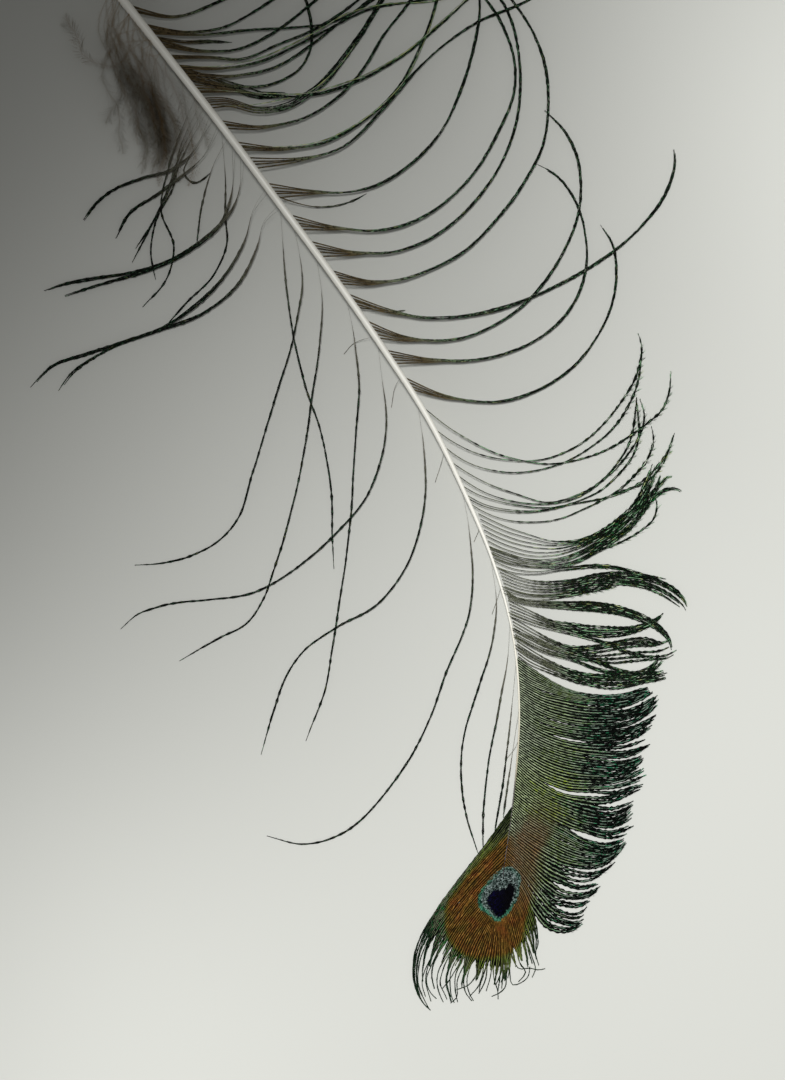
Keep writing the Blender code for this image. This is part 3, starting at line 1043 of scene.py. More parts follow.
# Outlines of the eye's parts.
RING = Outline((0.0, 0.0), 10.0, (
    (0, 5.2), (15, 5.6), (34, 7.1), (46, 7.65), (64, 7.9), (78, 7.5), (90, 6.4), (115, 4.9), (140, 4.6),
    (161, 5.0), (193, 6.3), (212, 7.0), (235, 6.9), (250, 7.3), (261, 8.0), (275, 7.0), (300, 5.8),
    (324, 5.1), (345, 5.1), (360, 5.2),
))
PUPIL = Outline((0.4, -1.6), 6.0, (
    (0, 3.0), (20, 3.6), (36, 4.3), (53, 5.0), (63, 4.6), (75, 2.8), (100, 2.5), (117, 2.8), (149, 3.3),
    (188, 4.0), (218, 4.1), (240, 4.4), (259, 5.0), (285, 4.2), (311, 3.3), (340, 2.9), (360, 3.0),
))
BRONZE = Outline((-1.0, -3.0), 30.0, (
    (0, 9.6), (20, 11.3), (46, 17.3), (53, 25.0), (60, 28.0), (68, 27.5), (73, 22.0), (82, 19.4),
    (100, 14.4), (127, 11.9), (152, 11.6), (180, 14.0), (201, 15.6), (218, 17.0), (234, 17.3), (250, 16.6),
    (263, 15.6), (281, 15.0), (297, 13.6), (307, 12.5), (323, 10.3), (346, 9.3), (360, 9.6),
))


def eye_marking_group() -> bpy.types.NodeTree:
    """The marking of the eye: dark centre, lilac and green ring, bronze field.

    Returns:
        The group.
    """
    graph, _, out = new_group(
        "eye_marking", {}, {"Color": "Color", "Cover": "Float", "Ring": "Float", "Out": "Float", "Y": "Float"}
    )
    run, seed, _, _ = graph.barb()
    where = graph.add("TexCoord").outputs["Object"]
    scaled = graph.add("VectorMath", {"operation": "SCALE"}, Vector=where, Scale=1.0 / MM)
    ragged = graph.add("TexNoise", Vector=scaled.outputs[0], Scale=1.1)
    shake = graph.add("VectorMath", {"operation": "SUBTRACT"}, Vector=ragged.outputs["Color"])
    shake.inputs[1].default_value = (0.5, 0.5, 0.5)
    shaken = graph.add("VectorMath", {"operation": "MULTIPLY_ADD"}, Vector=shake.outputs[0])
    shaken.inputs[1].default_value = (1.1, 1.1, 0.0)
    graph.tree.links.new(scaled.outputs[0], shaken.inputs[2])
    parts = graph.add("SeparateXYZ", Vector=shaken.outputs[0])
    x, y = parts.outputs[0], parts.outputs[1]
    y = graph.plus(y, graph.times(graph.minus(seed, 0.5), 0.5))
    ring, pupil, bronze = (outline.reach(graph, x, y) for outline in (RING, PUPIL, BRONZE))
    speck = graph.noise(scaled.outputs[0], 2.2)
    rust = graph.noise(scaled.outputs[0], 0.35)
    streak = graph.noise(graph.vector(graph.times(run, 0.55), graph.times(seed, BARB_ROWS)))
    brown = graph.ramp(rust, ((0.3, srgb(114, 94, 38)), (0.5, srgb(129, 92, 37)), (0.7, srgb(138, 84, 38))))
    brown = graph.mix(graph.times(graph.span(streak, 0.5, 0.66), 0.7), brown, srgb(34, 24, 9))
    brown = graph.mix(graph.span(streak, 0.44, 0.3), brown, srgb(180, 136, 66))
    brown = graph.mix(graph.times(graph.span(speck, 0.5, 0.62), 0.3), brown, srgb(22, 15, 6))
    edge = graph.span(bronze, 0.88, 1.0)
    brown = graph.mix(graph.times(edge, 0.8), brown, srgb(96, 108, 38))
    soft = graph.times(graph.span(y, -8.0, 3.0), graph.span(x, 1.0, 5.0))
    brown = graph.mix(graph.times(soft, 0.5), brown, srgb(134, 106, 78))
    reach = graph.plus(1.0, graph.times(soft, 0.22))
    depth = graph.plus(0.05, graph.times(soft, 0.42))
    cover = graph.math("DIVIDE", graph.minus(reach, bronze), depth, clamp=True)
    thin = graph.times(soft, graph.span(ring, 0.98, 1.08))
    cover = graph.times(cover, graph.minus(1.0, graph.times(thin, 0.24)))
    lilac = graph.ramp(
        speck, ((0.42, srgb(6, 10, 12)), (0.53, srgb(80, 98, 92)), (0.66, srgb(156, 168, 166)))
    )
    green = graph.mix(graph.span(speck, 0.36, 0.6), srgb(8, 48, 36), srgb(64, 142, 110))
    rim = graph.span(ring, 0.78, 0.93)
    corner = graph.span(graph.plus(x, y), 4.0, -3.0)
    greener = graph.plus(0.25, graph.times(corner, 0.6))
    halo = graph.mix(graph.times(rim, greener), lilac, green)
    navy = graph.mix(graph.span(x, -2.5, 2.0), srgb(8, 5, 46), srgb(2, 2, 9))
    navy = graph.mix(graph.span(speck, 0.4, 0.56), navy, srgb(0, 0, 2))
    marking = graph.mix(graph.span(ring, 1.04, 0.96), brown, halo)
    marking = graph.mix(graph.span(pupil, 1.06, 0.94), marking, navy)
    ringed = graph.span(ring, 1.04, 0.96)
    for name, value in (("Color", marking), ("Cover", cover), ("Ring", ringed), ("Out", bronze), ("Y", y)):
        graph.feed(out.inputs[name], value)
    return out.id_data


class Finish:
    """A material with one Principled shader."""

    def __init__(self, name: str) -> None:
        """Makes the material and its graph.

        Args:
            name: The material's name.
        """
        self.material = bpy.data.materials.new(name)
        self.material.use_nodes = True
        self.graph = Graph(self.material.node_tree)
        self.shader = self.material.node_tree.nodes["Principled BSDF"]

    def set(self, **inputs: Value) -> None:
        """Feeds the shader's sockets.

        Args:
            **inputs: Sockets by name, underscores for spaces, each a value or a socket to link.
        """
        for key, value in inputs.items():
            self.graph.feed(self.shader.inputs[key.replace("_", " ")], value)

    def bump(self, height: Socket, strength: float, distance: float) -> None:
        """Feeds the shader's normal from a height.

        Args:
            height: The height.
            strength: How much of it is used.
            distance: What a height of 1 stands for, in metres.
        """
        node = self.graph.add("Bump", Height=height, Strength=strength, Distance=distance)
        self.set(Normal=node.outputs[0])


@dataclass(frozen=True)
class LooseBarb:
    """Finish of a loose strand: brown at the root, then near black with painted green and grey glints.

    Args:
        name: The material's name.
        root: Colour of the spine at the root.
        base: Colour of the web at the root.
        dark: Colour of the web past that.
        emerald: Colour of painted green glints.
        grey: Colour of painted grey glints, and of the spine past the root.
        gold: Colour of painted yellow glints.
        turn: Millimetres along the barb where its root's colours begin to fade.
        dusk: Millimetres along the barb where they are gone.
        glow: How many barbules take a painted glint.
        rate: How fast dashes follow one another along the spine.
        golden: Least chance at which a painted glint is yellow.
        show: How much of the spine shows, at the root and past it.
    """

    name: str = "loose_barb"
    root: Colour = srgb(140, 130, 104)
    base: Colour = srgb(52, 45, 32)
    dark: Colour = srgb(13, 17, 12)
    emerald: Colour = srgb(40, 132, 84)
    grey: Colour = srgb(142, 152, 132)
    gold: Colour = srgb(140, 150, 60)
    turn: float = 8.0
    dusk: float = 30.0
    glow: float = 0.5
    rate: float = 0.8
    golden: float = 0.58
    show: tuple[float, float] = (0.75, 0.42)

    def build(self, shade: bpy.types.NodeTree) -> bpy.types.Material:
        """Makes the material.

        Args:
            shade: The barb_shade group.

        Returns:
            The material.
        """
        finish = Finish(self.name)
        graph = finish.graph
        run, seed, _, _ = graph.barb()
        turned = graph.span(run, self.turn, self.dusk)
        spine = graph.mix(turned, self.root, self.grey)
        dark = graph.mix(graph.span(run, 0.0, self.dusk), self.base, self.dark)
        # Painted glints: grey, green or yellow highlight colour chosen along each barb.
        tint = graph.noise(graph.vector(graph.times(run, 0.4), graph.times(seed, 31.0)))
        gleam = graph.mix(graph.span(tint, 0.4, 0.46), self.grey, self.emerald)
        gleam = graph.mix(graph.span(tint, self.golden, self.golden + 0.05), gleam, self.gold)
        # Past its root the spine is mostly the painted glint colour as well.
        spine = graph.mix(graph.times(turned, 0.6), spine, gleam)
        show = graph.minus(self.show[0], graph.times(turned, self.show[0] - self.show[1]))
        glow = graph.times(turned, self.glow)
        node = graph.group(shade, Spine=spine, Dark=dark, Gleam=gleam, Rate=self.rate, Show=show, Glow=glow)
        finish.set(Base_Color=node.outputs["Color"], Roughness=0.6, Specular_IOR_Level=0.06)
        return finish.material


@dataclass(frozen=True)
class VaneBarb:
    """Finish of the dense vane and the eye: sage spines, painted olive then teal glints, and the eye's
    marking with painted shade between its barbs.

    Args:
        name: The material's name.
        sage: Colour of the spine at the root.
        moss: Colour of the spine past that.
        olive: Colour of painted glints near the shaft.
        yellow: Colour of painted glints in the vane's yellow patch.
        emerald: Colour of painted glints further out.
        grey: Colour of the spine further out.
        dark: Colour of the web.
        rate: How fast dashes follow one another along the spine.
        show: How much of the spine shows, at the root and further out.
        glow: How many barbules take a painted glint.
        deepen: How dark the tips past the eye's marking are, 0 to 1.
    """

    name: str = "vane_barb"
    sage: Colour = srgb(200, 214, 180)
    moss: Colour = srgb(168, 186, 148)
    olive: Colour = srgb(134, 156, 92)
    yellow: Colour = srgb(176, 200, 60)
    emerald: Colour = srgb(52, 158, 110)
    grey: Colour = srgb(160, 182, 164)
    dark: Colour = srgb(4, 6, 4)
    rate: float = 0.42
    show: tuple[float, float] = (0.95, 0.45)
    glow: float = 0.45
    deepen: float = 0.0

    def build(self, shade: bpy.types.NodeTree, marking: bpy.types.NodeTree) -> bpy.types.Material:
        """Makes the material.

        Args:
            shade: The barb_shade group.
            marking: The eye_marking group.

        Returns:
            The material.
        """
        finish = Finish(self.name)
        graph = finish.graph
        run, seed, _, _ = graph.barb()
        eye = graph.group(marking)
        tint = graph.noise(graph.vector(graph.times(run, 0.7), graph.times(seed, 83.0)))
        shift = graph.times(graph.minus(graph.math("FRACT", graph.times(seed, 9.0)), 0.5), 9.0)
        run = graph.math("MAXIMUM", graph.plus(run, shift), graph.times(run, 0.5))
        outer = graph.span(run, 13.0, 28.0)
        above, below = graph.span(eye.outputs["Y"], 17.0, 23.0), graph.span(eye.outputs["Y"], 42.0, 30.0)
        patch = graph.times(graph.times(above, below), graph.span(run, 20.0, 11.0))
        olive = graph.mix(patch, self.olive, self.yellow)
        leaf = graph.mix(outer, olive, self.emerald)
        plain = graph.mix(outer, self.moss, self.grey)
        plain = graph.mix(graph.span(run, 3.0, 11.0), self.sage, plain)
        plain = graph.mix(graph.times(patch, 0.25), plain, self.yellow)
        # Dashes of the glint colours on the spine past its root: painted glints.
        tinted = graph.times(graph.span(run, 4.0, 13.0), graph.span(tint, 0.53, 0.58))
        spine = graph.mix(tinted, plain, leaf)
        tips = graph.times(graph.span(eye.outputs["Out"], 1.05, 1.35), self.deepen)
        spine = graph.mix(tips, spine, srgb(14, 44, 27))
        # Painted glints: the colour that gleaming barbules take.
        gleam = graph.mix(graph.span(tint, 0.44, 0.48), graph.mix(0.5, self.grey, self.sage), leaf)
        show = graph.minus(self.show[0], graph.times(graph.span(run, 5.0, 30.0), self.show[0] - self.show[1]))
        glow = graph.times(graph.span(run, 3.0, 16.0), self.glow)
        node = graph.group(
            shade, Spine=spine, Dark=self.dark, Gleam=gleam, Rate=self.rate, Show=show, Glow=glow
        )
        # Painted shade: the eye's marking is darkened to near black away from each barb's middle line, as
        # shade in the gaps between barbs, less so in the ring.
        lines = graph.plus(0.09, graph.times(node.outputs["Ridge"], 0.95))
        lines = graph.math("MAXIMUM", lines, graph.times(eye.outputs["Ring"], 0.54))
        marked = graph.mix(1.0, eye.outputs["Color"], graph.tone(lines), "MULTIPLY")
        colour = graph.mix(eye.outputs["Cover"], node.outputs["Color"], marked)
        finish.set(Base_Color=colour, Roughness=0.6, Specular_IOR_Level=0.03)
        return finish.material


@dataclass(frozen=True)
class Keratin:
    """Finish of the shaft: ivory with fine streaks, dark where it sinks into the eye.

    Args:
        name: The material's name.
        ivory: Colour of its long middle.
        cream: Colour of its quill, and towards the eye.
        tan: Colour just over the eye, and of the streaks.
        dark: Colour where it sinks into the eye.
        dusk: Colour of its hair-fine end.
    """

    name: str = "keratin"
    ivory: Colour = srgb(250, 248, 238)
    cream: Colour = srgb(226, 221, 204)
    tan: Colour = srgb(178, 168, 142)
    dark: Colour = srgb(44, 40, 30)
    dusk: Colour = srgb(46, 36, 44)

    def build(self) -> bpy.types.Material:
        """Makes the material.

        Returns:
            The material.
        """
        finish = Finish(self.name)
        graph = finish.graph
        run, around, _, share = graph.barb()
        stops = (
            (0.0, self.cream), (0.2, self.ivory), (0.74, self.ivory), (0.84, self.cream), (0.885, self.tan),
            (0.902, self.dark), (0.935, self.dark), (0.95, self.dusk),
        )
        colour = graph.ramp(share, stops)
        streak = graph.noise(graph.vector(graph.times(run, 0.05), graph.times(around, 14.0)), 2.0, 3.0)
        colour = graph.mix(graph.times(graph.span(streak, 0.5, 0.75), 0.3), colour, self.tan)
        finish.set(Base_Color=colour, Roughness=0.38, Coat_Weight=0.35, Coat_Roughness=0.3)
        finish.bump(streak, 0.2, 0.0002)
        return finish.material


@dataclass(frozen=True)
class Fluff:
    """Finish of the down: dark warm brown, paler at its ends.

    Args:
        name: The material's name.
        pale: Colour of the barbules' ends.
        brown: Colour of most barbs.
        warm: Colour of the others.
        rosy: Colour near the roots.
    """

    name: str = "fluff"
    pale: Colour = srgb(130, 119, 88)
    brown: Colour = srgb(106, 88, 54)
    warm: Colour = srgb(130, 102, 68)
    rosy: Colour = srgb(170, 146, 116)

    def build(self) -> bpy.types.Material:
        """Makes the material.

        Returns:
            The material.
        """
        finish = Finish(self.name)
        graph = finish.graph
        _, seed, far, share = graph.barb()
        colour = graph.mix(graph.span(seed, 0.7, 0.8), self.brown, self.warm)
        colour = graph.mix(graph.times(graph.span(share, 0.45, 0.1), 0.6), colour, self.rosy)
        ends = graph.times(graph.span(far, 0.5, 1.0), 0.55)
        colour = graph.mix(graph.plus(ends, graph.times(share, 0.2), clamp=True), colour, self.pale)
        finish.set(Base_Color=colour, Roughness=0.8, Specular_IOR_Level=0.1)
        return finish.material


@dataclass(frozen=True)
class Fluffy:
    """One tuft of down.

    Args:
        count: Number of downy barbs.
        width: How wide they spread, in millimetres.
        route: The tuft's middle, from the shaft to its end.
        ends: Least and greatest share of the route at which a barb ends.
    """

    count: int
    width: float
    route: Route
    ends: tuple[float, float] = (0.5, 1.0)


DOWN_TUFTS = (
    Fluffy(12, 6.0, ((-104, 246), (-106.5, 237), (-103, 229.5), (-99, 222), (-95, 213), (-93, 205),
        (-94.5, 195)), (0.85, 1)),
    Fluffy(10, 14.0, ((-102, 243.5), (-104, 235), (-101, 225), (-97, 214), (-95, 204), (-96, 193)),
        (0.75, 1)),
    Fluffy(7, 9.0, ((-97, 237), (-95.5, 230), (-92, 220), (-88.5, 211), (-85.5, 203), (-84, 196)), (0.7, 1)),
    Fluffy(2, 6.0, ((-106, 248), (-109, 238), (-113, 230), (-117, 223)), (0.5, 0.9)),
    Fluffy(2, 6.0, ((-103, 244), (-104.5, 232), (-108, 222), (-111, 214)), (0.5, 0.9)),
    Fluffy(2, 6.0, ((-100, 240), (-99.5, 224), (-102.5, 214), (-106, 206.5)), (0.5, 0.95)),
    Fluffy(1, 0.5, ((-100, 240.5), (-102.5, 230.5), (-108, 228.2), (-113.6, 230.4), (-117.5, 236),
        (-119, 243)), (0.98, 1)),
    Fluffy(4, 3.0, ((-116, 261), (-124, 256), (-132, 255), (-139, 258))),
    Fluffy(5, 3.0, ((-122, 268.8), (-130, 264.5), (-138, 264.5), (-144, 269))),
    Fluffy(4, 2.5, ((-127.5, 275.8), (-135, 272), (-142, 275))),
    Fluffy(6, 3.0, ((-109, 252.2), (-103, 256), (-97, 263), (-95, 272))),
    Fluffy(6, 3.0, ((-115, 259.8), (-108, 263), (-103, 270), (-102, 279))),
    Fluffy(5, 2.5, ((-121, 267.5), (-114, 271), (-110, 277), (-110, 285))),
)


@dataclass
class Down:
    """Soft down at the base of the vane: wavy barbs with long hair-fine barbules.

    Args:
        name: The piece's name.
        seed: Seed of its chance.
        style: How its barbs are made.
        tufts: Its tufts.
    """

    name: str = "down"
    seed: int = 41
    style: BarbStyle = BarbStyle(
        ramus=(0.015, 0.012), web=(0.0, 0.0), blade=(3.8, 3.0), thick=0.034, spacing=0.17, bare=1.0,
        cover=26.0, lean=42.0, bunch=9.0, depth=0.0, inner=1.0, twist=0.6, lift=0.2, bend=0.05,
    )
    tufts: tuple[Fluffy, ...] = DOWN_TUFTS

    def build(self) -> bpy.types.Object:
        """Grows every tuft into one mesh.

        Returns:
            The piece.
        """
        rng = np.random.default_rng(self.seed)
        buffer = MeshBuffer()
        grower = BarbGrower(buffer, rng)
        for tuft in self.tufts:
            line = smooth_route(tuft.route, 0.9)
            share = np.linspace(0, 1, len(line))
            across = left_of(line)
            for _ in range(tuft.count):
                root = on_shaft(float(line[0, 1]) + 0.5 * tuft.width * rng.standard_normal())
                apart = (1 - np.clip(share / 0.35, 0, 1)) ** 1.5
                offset = 0.4 * tuft.width * rng.standard_normal() * (1 - apart) + wander(share * 60, rng, 1.3)
                plan = line + (root[:2] - line[0]) * apart[:, None] + across * offset[:, None]
                height = root[2] * (1 - share) ** 1.4 + 0.9 + 1.6 * rng.random() * np.sin(math.pi * share)
                whole = np.column_stack((plan, height))
                end = between(tuft.ends, rng.random())
                grower.grow(whole[: max(8, int(end * len(whole)))], self.style)
        return buffer.build(self.name)


LEFT_STYLE = BarbStyle(
    ramus=(0.02, 0.1), web=(0.54, 0.56), blade=(0.44, 0.6), bushy=(0.1, 0.8), bare=8.0, cover=12.0,
    spacing=0.19, bunch=1.7, depth=0.5,
)
RIGHT_STYLE = BarbStyle(
    ramus=(0.25, 0.07), web=(0.38, 0.48), blade=(0.32, 0.6), bushy=(0.2, 0.85), bare=2.0, cover=14.0,
    spacing=0.19, bunch=1.6, depth=0.5,
)
HIGHLIGHT_STYLE = BarbStyle(
    ramus=(0.12, 0.12), web=(0.36, 0.4), blade=(0.3, 0.42), bushy=(0.2, 0.85), bare=8.0, cover=16.0,
    spacing=0.19, bunch=1.6, depth=0.5, twist=0.1, tent=0.2,
)
COMB_STYLE = BarbStyle(
    ramus=(0.14, 0.09), web=(0.34, 0.64), blade=(0.26, 1.1), bushy=(0.36, 0.8), bare=2.0, cover=14.0,
    spacing=0.16, bunch=1.9, depth=0.9,
)
BRUSH_STYLE = BarbStyle(
    ramus=(0.14, 0.1), web=(0.18, 0.6), blade=(0.16, 1.35), bushy=(0.32, 0.6), bare=2.0, cover=9.0,
    spacing=0.16, thick=0.2, bunch=1.9, depth=0.8, lean=22.0,
)
TUFT_STYLE = BarbStyle(
    ramus=(0.14, 0.1), web=(0.2, 0.62), blade=(0.2, 1.0), bushy=(0.12, 0.42), bare=1.0, cover=7.0,
    spacing=0.16, thick=0.18, bunch=1.9, depth=0.8, lean=22.0,
)
VANE_STYLE = BarbStyle(
    ramus=(0.09, 0.12), web=(0.9, 0.6), blade=(0.16, 1.0), bushy=(0.35, 0.9), thick=0.18, spacing=0.18,
    bare=0.0, cover=0.5, lean=28.0, bunch=1.7, depth=0.6, twist=0.2, lift=0.2,
)
EYE_STYLE = BarbStyle(
    ramus=(0.1, 0.14), web=(0.6, 0.3), blade=(0.22, 0.0), bushy=(0.45, 0.66), thick=0.12, spacing=0.14,
    bare=0.0, cover=0.5, lean=28.0, bunch=1.2, depth=0.35, inner=0.9, twist=0.12, lift=0.14,
)

LEFT_CLUMPS = (
    Clump((204, 202.5), 2, ((-71, 204), (-71.4, 194.4), (-73.7, 187.8), (-79.8, 181.1), (-89, 175),
        (-100.2, 170.9), (-111.9, 169), (-120.6, 167.3), (-127.4, 164.9))),
    Clump((206.8, 205.5), 2, ((-73.4, 206.8), (-74.4, 189.8), (-76.7, 184.2), (-84.9, 176.8), (-96.1, 171.4),
        (-106.8, 168.4), (-120.7, 163.9))),
    lone(((-76.5, 211), (-75.5, 196), (-75.5, 184.7), (-75, 179.6), (-78.8, 169.9), (-85.9, 162.8),
        (-92, 156.1))),
    Clump((194.2, 193), 2, ((-64, 194.2), (-67.8, 188), (-70.1, 179.6), (-75.2, 170.4), (-82.3, 162.8),
        (-92.6, 155.6), (-103.3, 151.8), (-114.5, 148), (-122.7, 145.2), (-129.8, 138.3))),
    Clump((189.4, 188.5), 2, ((-60.5, 189.4), (-65.3, 184), (-66.5, 178.6), (-72.1, 167.3), (-81.3, 159.7),
        (-94.1, 154.6), (-108.4, 149.2), (-118.1, 142.6), (-121.9, 137.2))),
    Clump((214.5, 213.5), 2, ((-79, 214.5), (-85, 203), (-89.7, 199.2), (-99.2, 196.4), (-106.3, 193.5),
        (-110.4, 190.3), (-115.1, 184.2))),
    Clump((211.5, 210.5), 2, ((-77, 211.5), (-82, 202), (-86.4, 198), (-94.1, 192.3), (-101.7, 187.2),
        (-105.8, 180.1))),
    Clump((215.8, 215), 1, ((-80, 215.8), (-88, 201), (-90.5, 194.9), (-95.1, 185.2), (-101.1, 173.5))),
    Clump((218.4, 217), 1, ((-82, 218.4), (-88.5, 203), (-89.5, 195.4), (-94.6, 184.7), (-96.1, 176),
        (-94.8, 168.8))),
    Clump((208.2, 208), 1, ((-74.5, 208.2), (-78.8, 200), (-82.1, 188.8), (-83.6, 178.1))),
    Clump((185.2, 185), 1, ((-57.5, 185.2), (-55.5, 177.6), (-54.4, 168.2), (-55.7, 158.4), (-57.6, 149.4),
        (-62.2, 135.1), (-67.9, 116.1), (-72.2, 102.9), (-77.1, 97.2), (-84.7, 93), (-95.1, 90.4),
        (-100.5, 90.2))),
    Clump((189.4, 189), 1, ((-60.5, 189.4), (-59.3, 173.6), (-57.3, 155.7), (-53.5, 139.6), (-49.8, 128.7),
        (-47.3, 116.7), (-46.1, 105.2), (-46.1, 98.3), (-45.7, 89.2))),
    lone(((-50.8, 176), (-49, 163), (-49.7, 150), (-51.9, 134.7), (-54.4, 119), (-58.2, 101.8),
        (-62.2, 89.1), (-65.1, 81.1), (-69.9, 73.9), (-77.1, 70.2), (-88.2, 63.9))),
    lone(((-43, 165), (-40.3, 153.5), (-38.8, 140.5), (-39.8, 125.3), (-40.9, 105.2), (-43, 88),
        (-46.1, 67.3), (-48, 56.8), (-53.4, 41.8))),
    lone(((-33.8, 152), (-32.7, 142.3), (-31.2, 129.9), (-32.6, 119.6), (-36.1, 110.4), (-46.1, 98),
        (-59.9, 86.8), (-68.5, 82.5), (-80.1, 80.7), (-93.9, 78.8), (-99.9, 76.6), (-104.4, 72.7))),
    lone(((-22.8, 135.5), (-21, 121.9), (-20.6, 109.8), (-22.3, 98.9), (-26.9, 88), (-34, 79.4),
        (-45.5, 72.7), (-53.7, 66.9), (-58.9, 59.7), (-62.3, 49.9), (-65.7, 38.1))),
    lone(((-10.8, 112.3), (-8.5, 100), (-7.6, 88), (-8.8, 75.9), (-11, 69.6), (-14.9, 60.3), (-19.5, 47.7),
        (-30.9, 28.3), (-42.7, 16.9), (-54.5, 13.4), (-64.2, 15.7))),
    lone(((-2.8, 93.5), (-1.1, 79.4), (-2, 69.6), (-5.9, 56.5), (-9.9, 43.8), (-10.7, 32.8), (-8.8, 19.6),
        (-5.8, 9.9))),
    lone(((2.6, 75.1), (2.1, 64.8), (-0.1, 52.3), (-3, 37), (-4.6, 20.1), (-4.8, 11.4))),
    lone(((4.4, 64.4), (3, 48.6), (0.7, 30.1), (-1.6, 15.4))),
    lone(((5.2, 50.7), (2.5, 32.8), (0.9, 20.7))),
    lone(((-81, 216.5), (-88, 203), (-91, 194.4), (-94.1, 187.2), (-100.3, 177.3))),
    lone(((-83, 219.5), (-91, 200), (-93.1, 186.7), (-89.7, 178.6), (-92, 168.4), (-98.4, 161.2))),
    lone(((-78, 213), (-85.5, 202), (-87, 198.5), (-85.9, 196.2), (-83.9, 195.2), (-81.8, 196.2),
        (-79.8, 198))),
    lone(((-34.6, 153), (-38, 152.2), (-40.3, 151.3), (-43, 148.3)), arch=0.3),
    lone(((-27.2, 142), (-28.6, 140.2), (-30, 133.6)), arch=0.3),
    lone(((-15.6, 122), (-16.2, 119), (-18, 113)), arch=0.3),
    lone(((-7, 103.5), (-5.9, 100.6), (-7.2, 96.6)), arch=0.2),
    lone(((0.6, 84.5), (0, 82.4), (-2.1, 76.7)), arch=0.2),
    lone(((5.1, 42.6), (4.5, 40.7), (1.6, 36.6)), arch=0.1),
)

